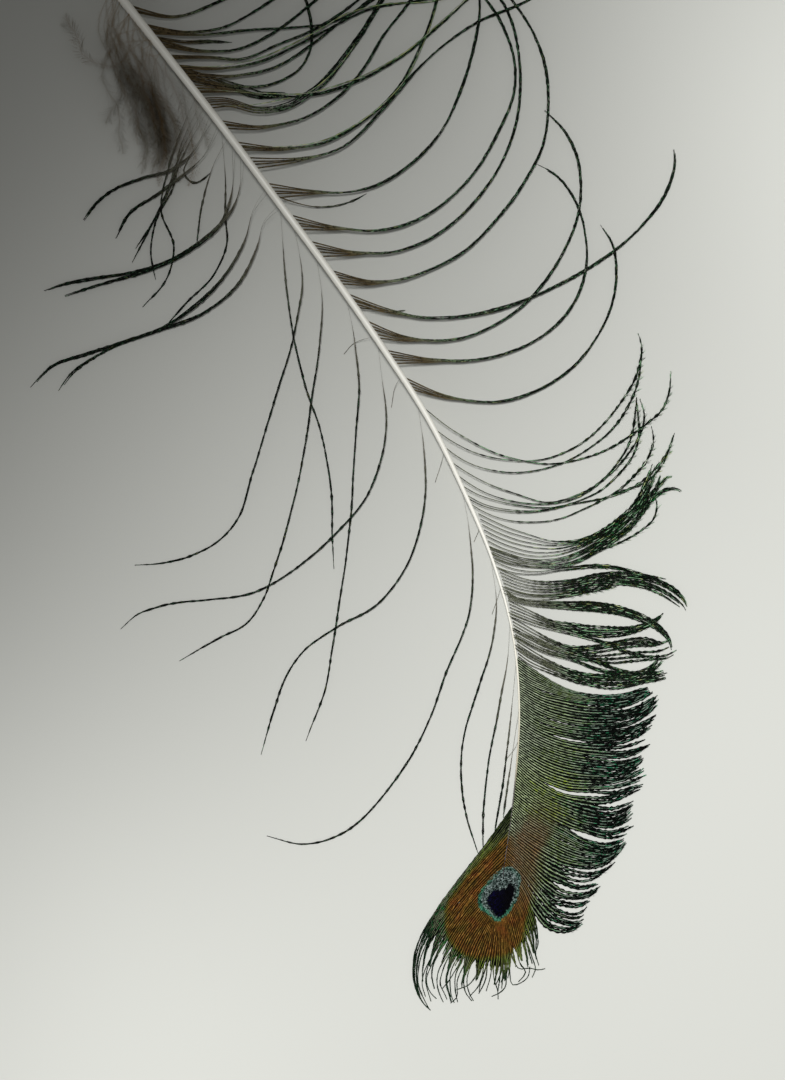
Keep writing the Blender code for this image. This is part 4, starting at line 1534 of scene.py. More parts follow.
RIGHT_CLUMPS = (
    Clump((141.9, 138.5), 4, ((-26.6, 141.5), (-15.1, 136.7), (-7.5, 135.3), (-0.5, 135.2), (9.7, 138),
        (20, 144.7), (26.3, 152.5), (30.3, 160.5), (32, 169.9), (30.9, 178.4), (27.6, 183.8))),
    Clump((149.2, 145.6), 5, ((-31.6, 149.2), (-18.7, 146.7), (-9.7, 146.4), (0, 148), (10.6, 152.5),
        (17.8, 158.8), (21.8, 165.4), (23.8, 173.5), (23.6, 180.2), (20.4, 191), (15.1, 197.6),
        (10.2, 200.3))),
    Clump((157.5, 152.5), 5, ((-37.5, 157.5), (-26.3, 153), (-18.7, 151.8), (-9.7, 152.8), (0, 157.1),
        (8.4, 163.7), (16.4, 174.4), (20.9, 184.6), (22.2, 194.4), (21.3, 202), (17.8, 209.6),
        (11.5, 216.1))),
    Clump((164.8, 162), 4, ((-42.4, 164.8), (-31.2, 160.4), (-21.8, 158.3), (-12.9, 158.3), (0, 160.7),
        (9.7, 164.3), (20, 169.4), (31.6, 176.8), (39.6, 184.2), (45.4, 192.2), (48.1, 200.7),
        (47.3, 207.8)), width=0.6, tip=0.4),
    Clump((171.3, 167.3), 5, ((-47.1, 171.3), (-34.3, 168.1), (-28.5, 168.3), (-20.9, 170.7), (-12, 175.1),
        (0, 186.3), (7.1, 196.2), (11.5, 205.1), (13.3, 219.4), (12, 229.3), (4.4, 244.2), (-1, 250.5),
        (-8, 255))),
    Clump((179.4, 174.9), 5, ((-53, 179.4), (-38.8, 176), (-30.7, 176), (-21.8, 178.7), (-12.9, 184.3),
        (-2.3, 196.2), (2.6, 206), (5.3, 216.8), (5.5, 227.5), (1.3, 244), (-9, 256))),
    Clump((186.3, 182.3), 5, ((-58, 186.3), (-44.6, 182.9), (-35.2, 182.1), (-26.3, 183.6), (-17.3, 188.3),
        (-6.6, 198.9), (-0.1, 210.1), (4, 220.8), (3.8, 229.4), (0, 240), (-11, 254))),
    Clump((194.9, 191), 5, ((-64.4, 194.9), (-51.3, 192.9), (-43.2, 192.5), (-34.3, 194.4), (-25.4, 199.8),
        (-16.4, 209.2), (-10.8, 220.8), (-7.3, 232.4), (-5.6, 244), (-8, 257), (-13, 266))),
    Clump((206.3, 204), 4, ((-73, 206.3), (-57.5, 204.7), (-49, 206), (-37, 212.7), (-27.6, 222.1),
        (-23.1, 230.1), (-18.2, 243.1), (-15.5, 257), (-19, 269))),
    Clump((202, 199), 4, ((-67.7, 199.3), (-54.8, 201.4), (-43.2, 205.1), (-32.5, 215.2), (-21.8, 227.5),
        (-14.2, 234.2), (-5.3, 240), (3.9, 243.8), (20, 252))),
    Clump((212.3, 210), 4, ((-77.5, 212.3), (-65.5, 210.7), (-53, 213.4), (-44.1, 219.2), (-37.4, 227),
        (-32.1, 235.9), (-26, 243.5), (-16, 259), (-13, 272))),
    Clump((218.5, 215.5), 5, ((-81.5, 217.6), (-75.4, 217.7), (-66.4, 215.3), (-57.9, 216.5), (-49.9, 221.7),
        (-42.8, 230.1), (-36.5, 239.1), (-28, 255), (-26, 274)), width=1.6),
    Clump((222, 219.8), 5, ((-84.6, 221.5), (-72, 220.5), (-62, 219), (-53, 219.2), (-41.4, 222.3),
        (-27.1, 230.1), (-17.3, 238.2), (-11.5, 243.5), (4, 259))),
    Clump((224.6, 224), 3, ((-86.5, 224.4), (-79, 222.6), (-71, 221.6), (-64.3, 222), (-59.7, 223.6),
        (-55, 226.8), (-52.2, 232.3), (-51.9, 238), (-52.8, 243.5), (-56, 252))),
    Clump((225.5, 223.5), 4, ((-87.8, 225.5), (-70.9, 224.9), (-62, 227), (-52.1, 233), (-45.4, 238.4),
        (-33, 249), (-28, 259))),
    Clump((227.5, 226.5), 4, ((-89, 227), (-77.1, 226.6), (-66.4, 228.4), (-55.7, 233), (-45, 238.8),
        (-37.9, 242.4), (-22, 245.5), (-2, 248.5))),
    Clump((230, 229), 4, ((-91.2, 229.9), (-79.8, 229.7), (-71.3, 229.3), (-61.1, 233.3), (-49, 238.6),
        (-34, 249.5))),
    Clump((235, 232.5), 5, ((-95, 234.6), (-81.2, 231.5), (-73.1, 231.7), (-63.3, 235.9), (-53, 243.8),
        (-45, 251), (-39, 261))),
    Clump((237.2, 236), 4, ((-96.6, 236.8), (-82.1, 235.9), (-70, 237.2), (-56.6, 238), (-47.7, 239.1),
        (-32, 248), (-23, 257))),
    Clump((239, 238), 4, ((-98, 238.4), (-85.2, 236.6), (-76.3, 238), (-69.1, 241.5), (-57, 251),
        (-52, 260))),
    Clump((244, 242), 5, ((-101.8, 243.1), (-88.8, 240.9), (-79.8, 244), (-69, 250), (-60, 262))),
    Clump((250, 247), 6, ((-106.5, 249), (-96, 248), (-84, 253), (-76, 261), (-73, 269))),
    Clump((192, 192), 1, ((-63, 192.2), (-59.7, 190.9), (-49.9, 188.8), (-40.5, 190.4), (-36.7, 192.4)),
        tip=0.2),
    Clump((227.6, 223.6), 8, ((-88, 226), (-80, 223.5), (-72, 221), (-66, 219.5), (-58, 219.8)), width=2.6,
        tip=1.0),
    Clump((235.4, 234.6), 5, ((-95.4, 235), (-86, 234), (-79.8, 234.2), (-73.8, 234)), width=0.7),
    lone(((-40, 161), (-32, 160.2), (-28.5, 160), (-26, 160.4))),
)

# Extra loose strands on the right, along the paths of others, coloured pale and bright as painted highlights
# where barbules catch the light.
HIGHLIGHT_ROUTES = (
    ((-89.4, 227.2), (-77, 227.2), (-68, 228.9), (-60, 232), (-51.4, 236.4), (-42.2, 241.6), (-33, 244.3),
     (-20, 245.2), (-4, 249)),
    ((-80.8, 216.6), (-70, 216.4), (-60.6, 217.9), (-51.4, 220.9), (-46.3, 225.3), (-41.6, 231),
     (-36.2, 239.9), (-28.6, 255)),
    ((-84.2, 221), (-66, 219.9), (-53.2, 219.8), (-40.3, 223.6), (-26.8, 230.8), (-16.8, 238.9), (4, 260)),
    ((-72.2, 205), (-57.5, 205.3), (-48.4, 206.9), (-36.4, 213.4), (-27, 222.6), (-22.5, 230.6),
     (-17.6, 243.6), (-15, 257)),
)

# Single barbs between the loose strands and the tufts, from the shaft to the tip.
COMB_ROUTES = (
    ((-22, 134.3), (-14, 128), (-8, 124.2), (-2, 121.3), (6, 119), (12, 118.2), (20, 118.9), (28, 121.3),
     (36, 125.9), (41, 129.7), (44.6, 133.2), (46.5, 138), (47, 143.6)),
    ((-18.2, 127.9), (-14, 124.8), (-8, 121.6), (-2, 119.7), (6, 118.8), (12, 119.4), (20, 122.4),
     (28, 128.6), (34, 136), (37.5, 142.4), (38.8, 151), (37.9, 154)),
    ((-16.2, 123.2), (-12, 120.1), (-8, 118), (0, 116), (8, 116), (16, 117.8), (24, 122), (30, 126.8),
     (34, 132), (37.5, 139), (39.2, 148)),
    ((-13.6, 118.8), (-10, 116.3), (-4, 113), (4, 110), (14, 107.5), (20, 108.9), (26, 112), (32, 118),
     (35.4, 123.6), (36.9, 129.5), (37.7, 136.5)),
    ((-11.4, 115.2), (-8, 112.6), (-4, 110.2), (0, 108.7), (6, 107.4), (14, 107.2), (22, 109.2), (30, 115),
     (35, 120.5), (38.6, 126.5), (39.6, 131.5), (38.4, 136)),
    ((-10.2, 112.2), (-6, 109.7), (0, 107.7), (6, 106.6), (14, 106.1), (22, 108.1), (28, 110.9), (33, 115.6),
     (36.3, 120), (38.1, 125), (37.9, 131.5), (37.4, 136.2)),
    ((-8.8, 109.6), (-4, 107), (2, 105.5), (10, 105.1), (18, 106.7), (26, 108.2), (33, 110), (38.5, 112.8),
     (43, 117), (46.8, 122.6), (48, 126.6)),
    ((-8.4, 108.6), (-4, 106.4), (4, 104.9), (12, 105.2), (20, 107), (30, 109.2), (36, 114), (41, 120.4),
     (42.2, 125), (41.7, 128.5)),
    ((-7.7, 107.2), (-4, 104.9), (2, 102.7), (8, 102.1), (16, 102.9), (24, 106), (31, 109.6), (41.8, 114.4),
     (45.4, 119.5), (47.8, 126)),
)

# Tufts, each between its upper and its lower edge: (style, spacing at the roots, guides).
TUFT_FANS = (
    (BRUSH_STYLE, 1.45, (
        ((-6, 104.4), (-2, 102.4), (2, 100.6), (8, 98.7), (14, 97), (20, 97), (26, 98.8), (32, 102.6),
         (36.5, 106.8), (39.5, 112.5), (41.9, 119.2)),
        ((-3.5, 97.2), (0, 95.4), (4, 94), (10, 92.8), (16, 93.3), (22, 95.2), (28, 98.3), (33, 101.8),
         (37.5, 106.6), (41, 112.5), (43.8, 118.2)),
        ((-1.5, 92.2), (2, 90.9), (6, 89.9), (12, 89.9), (18, 90.6), (24, 92.9), (30, 96), (35, 99.5),
         (39, 104), (42.3, 109.3), (44.8, 116.4)),
    )),
    (TUFT_STYLE, 0.85, (
        ((-0.5, 89.4), (4, 87.4), (9, 86), (14, 85.7), (20, 86.2), (26, 87.6), (32, 88.2), (38, 87.8),
         (44, 86.3), (49, 83.2), (51.5, 79.2), (51.4, 77.2)),
        ((1.2, 84.4), (5, 83), (10, 82.1), (15, 82.2), (21, 83.3), (27, 84.4), (33, 85), (39, 84.3),
         (44, 82.4), (47.5, 80.2), (50.4, 78), (51.2, 76.9)),
    )),
    (TUFT_STYLE, 0.32, (
        ((1.6, 83.4), (4, 81.6), (7, 80.6), (12, 80.3), (18, 80.2), (26, 80), (34, 78.5), (40, 76.2),
         (44, 73.7), (47, 70.2), (48, 66)),
        ((2.2, 81), (5, 79.9), (8, 79.2), (13, 78.7), (19, 78.2), (27, 77.5), (34.5, 76.1), (40, 74.2),
         (43.8, 72), (46.2, 69.4), (47.2, 66.2)),
    )),
    (TUFT_STYLE, 0.85, (
        ((2.2, 80.6), (6, 78.8), (10, 76.9), (14, 75.1), (19, 74.2), (25, 73.4), (31, 73.2), (37, 73.7),
         (41, 75), (44.6, 77.2), (46.8, 80.3)),
        ((3, 76.8), (6, 75.6), (10, 74.1), (14, 73), (19, 71.9), (25, 70.8), (31, 70.6), (36, 71.3),
         (39.5, 72.4), (43, 74.4), (45.6, 77.6)),
    )),
    (TUFT_STYLE, 0.85, (
        ((3.2, 75.8), (6, 74.3), (10, 72), (14, 69.8), (19, 67.9), (25, 67.9), (31, 69), (36, 70.2),
         (41, 70.5), (46, 69.3), (49, 72.2)),
        ((3.7, 73.4), (6, 72), (10, 69.9), (14, 68), (19, 66.5), (25, 66.6), (31, 67.5), (36, 68), (41, 68),
         (44, 68.6), (46.5, 69.4)),
        ((4.3, 70.4), (7, 69), (10, 67.5), (14, 65.9), (19, 64.7), (25, 64), (31, 63.3), (37, 63.8),
         (42, 64.4), (46, 64.7), (49.8, 66.9)),
    )),
    (TUFT_STYLE, 0.85, (
        ((4.5, 69.5), (7, 67.9), (10, 66), (14, 63.7), (19, 61.5), (24, 60.3), (30, 60.1), (36, 60),
         (41, 61.2), (45, 62.4), (46.5, 63.2)),
        ((5, 65.2), (8, 63), (12, 61.2), (16, 59.7), (21, 58.1), (26, 57), (31, 56.4), (36, 56.8),
         (40, 57.6), (44, 57.8), (48.2, 58.6)),
    )),
)
TUFT_SINGLES = (
    Clump((95.6, 94.6), 3, ((-3, 95), (2, 93.2), (8, 91.3), (15, 91.2), (22, 93.6), (30, 98.5), (37, 104.5),
        (41.5, 109.6), (44.5, 113), (46.4, 114.6), (48.3, 114.6)), width=0.9, tip=0.3),
    Clump((93.2, 92.4), 2, ((-1.8, 92.8), (3, 90.9), (10, 89.9), (18, 90.3), (26, 93.8), (34, 99.4),
        (40, 106), (43.5, 109.8), (46.5, 111.2), (49, 111), (50.6, 109.9)), width=0.7, tip=0.3),
    lone(((-2, 93.8), (2, 91.7), (8, 89.9), (18, 90.2), (28, 94.6), (34, 96.9), (39.5, 100.2), (42.2, 102.8),
        (43.2, 106.5), (42.5, 109.7))),
    Clump((91.5, 90), 2, ((-1, 90.6), (4, 88.7), (10, 88.1), (18, 89.3), (27, 89.9), (34, 89.1), (40, 87.5),
        (45.7, 86.5)), width=0.5),
    Clump((84.6, 82.6), 3, ((1.2, 83.6), (5, 82.2), (10, 81.3), (16, 81.8), (24, 83), (33, 84.7)),
        width=0.8),
    Clump((77, 76.4), 2, ((3, 76.6), (10, 73.9), (18, 71.8), (24, 70.2), (30, 68.4), (36, 65.9), (42, 65)),
        width=0.5),
    Clump((73.2, 72.4), 2, ((3.7, 72.8), (10, 69.8), (18, 66.3), (26, 63.9), (32, 61.6), (38, 60.3)),
        width=0.6),
    Clump((71, 70.4), 2, ((4.2, 70.8), (12, 66.5), (20, 64.2), (28, 61.3), (35, 60.4), (40, 61.3),
        (43, 63.6), (43.4, 66.7)), width=0.5, tip=0.4),
    Clump((68.4, 67.6), 2, ((4.6, 68), (12, 63.6), (20, 60.4), (30, 59.6), (38, 60), (43, 62), (45.8, 65.5)),
        width=0.6, tip=0.4),
)

# Barbs that lead the dense vane, from the shaft to the tip.
VANE_GUIDES = (
    ((4.9, 64.4), (9.3, 61.3), (14, 58.4), (19.5, 55.8), (26, 54.5), (34, 55.2), (41, 57.8), (43.5, 58.6)),
    ((5.1, 61.8), (8, 59.7), (12, 57.6), (18, 55.2), (26, 53.9), (34, 54.2), (41, 56.2), (44.2, 57.3)),
    ((5.5, 58), (8.5, 56.3), (12, 54.7), (16, 53.7), (25, 52.1), (35, 52), (41, 54.8), (44.2, 57)),
    ((5.6, 54), (10, 51), (14, 49.1), (20, 47.5), (28, 47), (36, 47.8), (42, 51.5), (44.4, 54.2)),
    ((5.6, 49.7), (10, 46.7), (14, 45.1), (20, 43.5), (29, 43), (36, 44.3), (42, 47.5), (44.8, 49.3)),
    ((5.5, 46), (10, 43.2), (16, 40.6), (25, 38.6), (34, 38.3), (39.5, 40.2), (41.7, 41.5)),
    ((5.3, 41), (10, 38.1), (16, 35.4), (25, 33.7), (34, 33.8), (39, 36.8), (40.3, 39)),
    ((5, 36.5), (8, 33.9), (12, 31.2), (18, 28.8), (24, 28.3), (32, 28.9), (38, 30.6), (40.9, 31.6)),
    ((4.95, 35.6), (8, 33), (12, 30.4), (18, 27.6), (24, 26.9), (32, 27.3), (36, 29), (40.7, 30.2)),
    ((4.7, 33.5), (8, 30.4), (12, 27.8), (18, 25.2), (24, 23.3), (31, 22.4), (35, 24.4), (37.6, 26.9)),
    ((4.4, 31.3), (8, 28.3), (12, 25.8), (18, 22.9), (24, 20.4), (31, 20), (35, 21.6), (36.8, 24)),
    ((4.2, 29.4), (8, 26.4), (12, 23.8), (18, 20.8), (24.3, 18.2), (31, 17), (36, 18.8), (38, 19.2)),
    ((4, 27.7), (8, 24.6), (12, 22), (18, 18.8), (24, 16.4), (30.5, 15.3), (33.5, 16.2), (37, 18.2)),
    ((3.9, 26.8), (8, 23.6), (12, 20.9), (18, 17.7), (24, 14.6), (30, 13.3), (33, 14), (34.4, 15)),
    ((3.3, 22), (6, 19.2), (10, 16.5), (14, 14.3), (20, 11.5), (26, 9.9), (31, 10.3), (35.5, 14)),
    ((2.6, 18.2), (6, 15.5), (10, 12.8), (14, 10.5), (18.5, 8.4), (24, 7.4), (29.5, 8.6), (34.2, 12.4)),
    ((2.3, 16.5), (6, 13.6), (10, 10.5), (14, 8), (19, 5.9), (24, 5), (29, 6.4), (32.2, 9.2)),
    ((2.2, 15), (6, 11.8), (10, 8.4), (14, 5.6), (18, 3.6), (22, 2.7), (26, 3.8), (28.5, 5.2)),
    ((2, 12.8), (6, 8.6), (10, 4.4), (14, 0.8), (18, -1), (22, -1.2), (27.6, 1.5), (30, 3.7)),
    ((1.9, 11.2), (6, 7.2), (10, 2.6), (13.5, -0.7), (17.5, -3), (20.5, -3.9), (22.5, -3.3), (24.9, -1.8)),
    ((1.8, 10), (6, 5.8), (10, 0.9), (14, -3.4), (17, -5), (20, -5.8), (23, -5), (25.1, -2.7)),
    ((1.7, 8.8), (6, 4), (10, -2), (14, -5.9), (18, -7.3), (21, -7.6), (24.3, -5.6)),
    ((1.6, 7.8), (6, 2.8), (10, -3.9), (13.5, -7.8), (16, -8.6), (20.5, -9), (23.3, -8.1)),
    ((1.5, 7), (6, 1.6), (9.6, -5.2), (13, -9.2), (17, -10.6), (20.5, -9.8), (23.2, -8.1)),
)
VANE_SLITS = (
    Slit(59.0, 0.1, 0.28, 0.4), Slit(58.8, 0.68, 0.9, 0.4), Slit(56.2, 0.66, 0.92, 0.4),
    Slit(52.6, 0.08, 0.4, 0.3), Slit(50.8, 0.1, 0.35, 0.3), Slit(48.6, 0.2, 0.5, 0.5),
    Slit(48.4, 0.68, 0.8, 0.4), Slit(44.4, 0.55, 0.8, 0.4), Slit(41.6, 0.6, 0.9, 0.4),
    Slit(36.1, 0.22, 0.72, 0.7), Slit(32.4, 0.7, 0.95, 0.8), Slit(27.3, 0.5, 0.9, 0.9),
    Slit(24.0, 0.7, 0.97, 0.6), Slit(19.6, 0.6, 0.9, 0.4), Slit(17.4, 0.48, 0.86, 0.6),
    Slit(15.7, 0.55, 0.9, 0.5), Slit(13.9, 0.5, 0.97, 1.3), Slit(12.0, 0.55, 0.97, 0.8),
    Slit(10.6, 0.6, 0.96, 0.6), Slit(8.3, 0.6, 0.96, 0.6),
)

# Barbs that lead the fan round the eye, from its right to its left.
EYE_GUIDES = (
    ((1.5, 6.2), (5.8, 1.5), (7.4, -1.6), (8.8, -5), (9.9, -8.5), (10.7, -12), (10.4, -15.5), (9.4, -18.6)),
    ((1.2, 3.6), (3.4, 1.2), (5, -1.2), (6.3, -4.4), (7.5, -8), (8.7, -12), (9.6, -16), (10.4, -19.8)),
    ((0.9, 0.8), (2.6, -1.8), (4, -4.6), (5.2, -8), (6.2, -12), (7.2, -16), (8, -19.5), (8.9, -23)),
    ((0.5, -1.8), (1.8, -4.6), (2.8, -7.6), (3.7, -11), (4.7, -15), (5.6, -18.6), (7.3, -22.7)),
    ((0.3, -4), (0.9, -6.6), (1.6, -9.5), (2.2, -13), (2.5, -17), (2.4, -20.5), (3, -24.8)),
    ((0.1, -5.4), (0.2, -8.4), (0.4, -12), (0.5, -16), (0.4, -20), (0.2, -24), (-0.3, -29.2)),
    ((0.1, -5.2), (-0.9, -8.4), (-1.6, -12), (-2.2, -16), (-3, -20.4), (-4, -24.4), (-5, -27.6)),
    ((0.2, -3.6), (-1.8, -7), (-3.6, -11), (-5.2, -15), (-6.9, -19.4), (-8.2, -23.4), (-9, -26),
     (-8.2, -29)),
    ((0.5, -0.8), (-2.4, -4.2), (-5.4, -8.4), (-8.4, -13), (-10.4, -17.4), (-12, -21.4), (-12.9, -25),
     (-11.7, -29.8)),
    ((0.9, 3), (-2.6, 0.2), (-6.2, -3.8), (-10, -8.6), (-13, -13), (-15.4, -17.4), (-16.9, -21.6),
     (-15.5, -30)),
    ((1.4, 8), (-2.6, 4.4), (-7, -0.4), (-11.6, -6.2), (-15.4, -11.6), (-18.2, -17), (-19.6, -22),
     (-18, -29.4)),
    ((2, 13.5), (-2.4, 8.8), (-7.6, 3.2), (-13, -3.2), (-17.6, -9.6), (-21, -16.4), (-22.2, -22.4),
     (-19.4, -31)),
    ((3.5, 23.5), (-0.5, 17.2), (-5.9, 10.5), (-12.1, 2.8), (-17.9, -5.3), (-21.7, -11.9), (-23.5, -18.8),
     (-23.3, -25.4), (-19.2, -32.3)),
)
EYE_SLITS = (
    Slit(11.4, 0.66, 0.97, 1.6), Slit(6.0, 0.76, 1.0, 1.3), Slit(1.2, 0.8, 1.0, 0.9),
    Slit(-2.6, 0.8, 1.0, 0.9),
)
EYE_HAIRS = (
    ((0, -5), (-2.6, -12), (-5.2, -19), (-6.2, -22), (-8.7, -25.3), (-12, -26.5)),
    ((0.4, -1), (-5.6, -9), (-10, -17.4), (-12.5, -21.5), (-14, -24), (-15.9, -26.2)),
    ((0.1, -5), (1.4, -12), (2.6, -18), (2.7, -22), (3.6, -25.2), (5.3, -24.8), (7.6, -23), (8.2, -20.2)),
    ((0.3, -3), (2.6, -9), (4.6, -16), (5.6, -19.6), (7, -21.6), (6.5, -22.8), (5, -24.4)),
    ((0.2, -4), (1.8, -11), (3.4, -18), (5.3, -20.9), (8, -20.7), (11, -21.1), (12.4, -20.7)),
    ((0.1, -5), (0.6, -14), (1.4, -20), (1.8, -23.5), (1.5, -26), (0.3, -27.3), (-2.3, -28.5)),
    ((0.2, -4), (0.8, -12), (1.6, -18), (1.2, -21.5), (0.2, -24.6)),
    ((0.2, -4), (1.2, -12), (2.2, -18), (2, -21), (1.4, -24)),
    ((0.2, -4), (0.5, -12), (0.9, -18), (0.3, -22), (-1.2, -25.4)),
    ((0.2, -4), (1.4, -12), (2.8, -17.6), (2.6, -20.5), (2.1, -23.4)),
    ((0.2, -4), (0.2, -12), (0.2, -18), (0.6, -21), (1, -23.6)),
    ((3, 20), (-6.7, 7.4), (-15.4, -5), (-20.4, -14), (-22.2, -19.8), (-22.4, -25), (-21, -29),
     (-19.6, -31.6)),
    ((2, 13.5), (-7.6, 3.2), (-14.6, -7.6), (-18.2, -16), (-19.3, -18.3), (-21, -22), (-21.5, -25),
     (-20.5, -28.5)),
    ((1.4, 9), (-7, 0.4), (-12.8, -8.4), (-15.8, -13), (-18, -16.5), (-19.5, -19.5), (-20.5, -24),
     (-19.1, -29.8)),
    ((1.4, 8), (-7, -0.4), (-13, -10), (-17.5, -17), (-19, -20), (-20.3, -24), (-19, -27.6), (-17.5, -29.1)),
    ((0.9, 3), (-6.2, -3.8), (-13.5, -16), (-15, -18), (-17, -22), (-17.3, -24), (-16.5, -28), (-15.6, -30)),
    ((0.8, 2), (-6, -5), (-13, -15.5), (-15.7, -21), (-16.4, -25), (-15, -28), (-14.5, -29.2)),
    ((0.5, -0.8), (-5.4, -8.4), (-12, -18), (-13.6, -22), (-13.6, -26), (-13.2, -28.5), (-12.5, -30.2)),
    ((0.3, -2.4), (-4.6, -9.4), (-10.5, -19), (-12.3, -23), (-12.3, -27), (-11.7, -30)),
    ((0.2, -3), (-4.2, -10), (-9.9, -19.5), (-11.8, -24), (-12.1, -29), (-13.6, -30.3)),
    ((0.2, -3.6), (-3.6, -11), (-8.7, -19.5), (-9.9, -24), (-9.3, -27.5), (-7.7, -29.7)),
    ((0.2, -4), (-3.4, -11), (-8, -19.7), (-9.1, -24), (-8.2, -28), (-7.2, -29.6)),
    ((0.1, -5), (-1.8, -11), (-4.2, -17.5), (-5, -23), (-5.8, -25.5), (-8.3, -28.5)),
    ((0.1, -5.2), (-1.5, -12), (-3.3, -18), (-4.1, -24), (-5.9, -27.7)),
    ((0.1, -5.3), (-0.4, -12), (-2, -19), (-2.8, -24), (-3.7, -27)),
    ((0.1, -5.4), (-0.2, -12), (-1.2, -18.5), (-1.8, -21), (-1.5, -24), (-0.5, -27), (-0.4, -29.2)),
    ((3.5, 23.5), (-5.9, 10.5), (-17.9, -5.3), (-21.9, -11.9), (-23.7, -18.8), (-23.4, -25.4), (-21.4, -30),
     (-19.2, -32.2)),
    ((3.3, 22.6), (-6.2, 9.6), (-18.2, -6.4), (-21.8, -12.9), (-23.3, -19.4), (-23, -25.8), (-20.9, -30.4),
     (-19.1, -32.2)),
    ((3, 21), (-6.4, 8.6), (-18.4, -7.8), (-21.6, -14.2), (-22.9, -20.2), (-22.6, -26.2), (-20.8, -30.6),
     (-19.3, -32)),
    ((0.2, -4), (0.6, -12), (0.8, -18), (0.9, -21), (1.2, -24.2)),
    ((0.2, -4), (1, -12), (1.9, -18), (1.5, -21.2), (0.7, -23.8)),
    ((0.2, -4), (0.9, -12), (1.5, -18), (2.2, -20.6), (2.6, -22.4)),
    ((0.8, 0.5), (5.6, -8), (9.2, -15), (9.8, -17), (10.7, -19.9)),
    ((0.7, 0), (5.2, -8.6), (8.9, -18), (9.7, -21), (8.8, -23.2)),
)


def tuft_vanes() -> tuple[Vane, ...]:
    """The tufts as narrow vanes that come apart at the shaft and close towards their tips.

    Returns:
        One vane a fan.
    """
    return tuple(
        Vane(style, guides, spacing, uneven=0.05, fill=0.0, fall=2.6, arch=0.3, pile=0.9, stray=0.14)
        for style, spacing, guides in TUFT_FANS
    )


@dataclass(frozen=True)
class Lamp:
    """A soft spot lamp.

    Args:
        name: Its name.
        place: Where it hangs, in metres.
        aim: Where it points.
        power: Its power, in watts.
        cone: Its cone's whole angle, in degrees.
        blend: Share of the cone over which its edge fades.
        radius: Its own radius in metres, which softens its shadows.
    """

    name: str
    place: Place
    aim: Place
    power: float
    cone: float
    blend: float = 1.0
    radius: float = 0.05

    def hang(self) -> None:
        """Hangs the lamp in the scene."""
        data = bpy.data.lights.new(self.name, "SPOT")
        data.shadow_soft_size = self.radius
        data.energy = self.power
        data.spot_size = math.radians(self.cone)
        data.spot_blend = self.blend
        lamp = bpy.data.objects.new(self.name, data)
        lamp.location = self.place
        lamp.rotation_mode = "QUATERNION"
        lamp.rotation_quaternion = (Vector(self.aim) - lamp.location).to_track_quat("-Z", "Y")
        bpy.context.scene.collection.objects.link(lamp)


@dataclass
class Studio:
    """Floor, lights and camera.

    Args:
        reach_mm: Length of the page that the camera sees.
        centre: x and y of the page's middle, in millimetres.
        lens: The camera's focal length, in millimetres.
        sensor: Its sensor's longer side, in millimetres.
        floor: The floor's colour.
        floor_reach: How far the floor goes on from the middle, in metres.
        sky: Colour of the surroundings.
        ambient: Strength of the surroundings' light.
        lamps: A broad soft lamp, then weaker ones for the far right and near left corners.
    """

    reach_mm: float = 297.18
    centre: tuple[float, float] = (-29.58, 97.13)
    lens: float = 300.0
    sensor: float = 36.0
    floor: Colour = srgb(198, 199, 193)
    floor_reach: float = 8.0
    sky: Colour = (1.0, 1.0, 0.985, 1.0)
    ambient: float = 0.161
    lamps: tuple[Lamp, ...] = (
        Lamp("key", (-0.022, 0.288, 1.656), (1.046, -1.007, 0.0), 129.0, 89.7, 0.226, 0.123),
        Lamp("fill", (0.14, 0.3, 1.6), (0.112, 0.265, 0.0), 42.0, 9.4),
        Lamp("near", (-0.14, -0.035, 1.6), (-0.14, -0.035, 0.0), 22.0, 8.0),
    )

    def camera(self) -> None:
        """A long lens straight above, so that the page is seen nearly without perspective."""
        data = bpy.data.cameras.new("camera")
        data.lens = self.lens
        data.sensor_width = self.sensor
        camera = bpy.data.objects.new("camera", data)
        height = self.reach_mm * MM * self.lens / self.sensor
        camera.location = (self.centre[0] * MM, self.centre[1] * MM, height)
        data.clip_end = 100.0
        bpy.context.scene.collection.objects.link(camera)
        bpy.context.scene.camera = camera

    def surface(self) -> None:
        """A plain pale floor at the height the feather rests on."""
        mesh = bpy.data.meshes.new("floor")
        half = self.floor_reach
        corners = [(-half, -half, 0), (half, -half, 0), (half, half, 0), (-half, half, 0)]
        mesh.from_pydata(corners, [], [(0, 1, 2, 3)])
        floor = bpy.data.objects.new("floor", mesh)
        finish = Finish("floor")
        finish.set(Base_Color=self.floor, Roughness=0.9)
        mesh.materials.append(finish.material)
        bpy.context.scene.collection.objects.link(floor)

    def lights(self) -> None:
        """Pale surroundings and the lamps."""
        world = bpy.data.worlds.new("studio")
        world.use_nodes = True
        background = world.node_tree.nodes["Background"]
        background.inputs["Color"].default_value = self.sky
        background.inputs["Strength"].default_value = self.ambient
        bpy.context.scene.world = world
        for lamp in self.lamps:
            lamp.hang()

    def build(self) -> None:
        """Sets the stage."""
        self.camera()
        self.surface()
        self.lights()
        bpy.context.scene.view_settings.view_transform = "Standard"


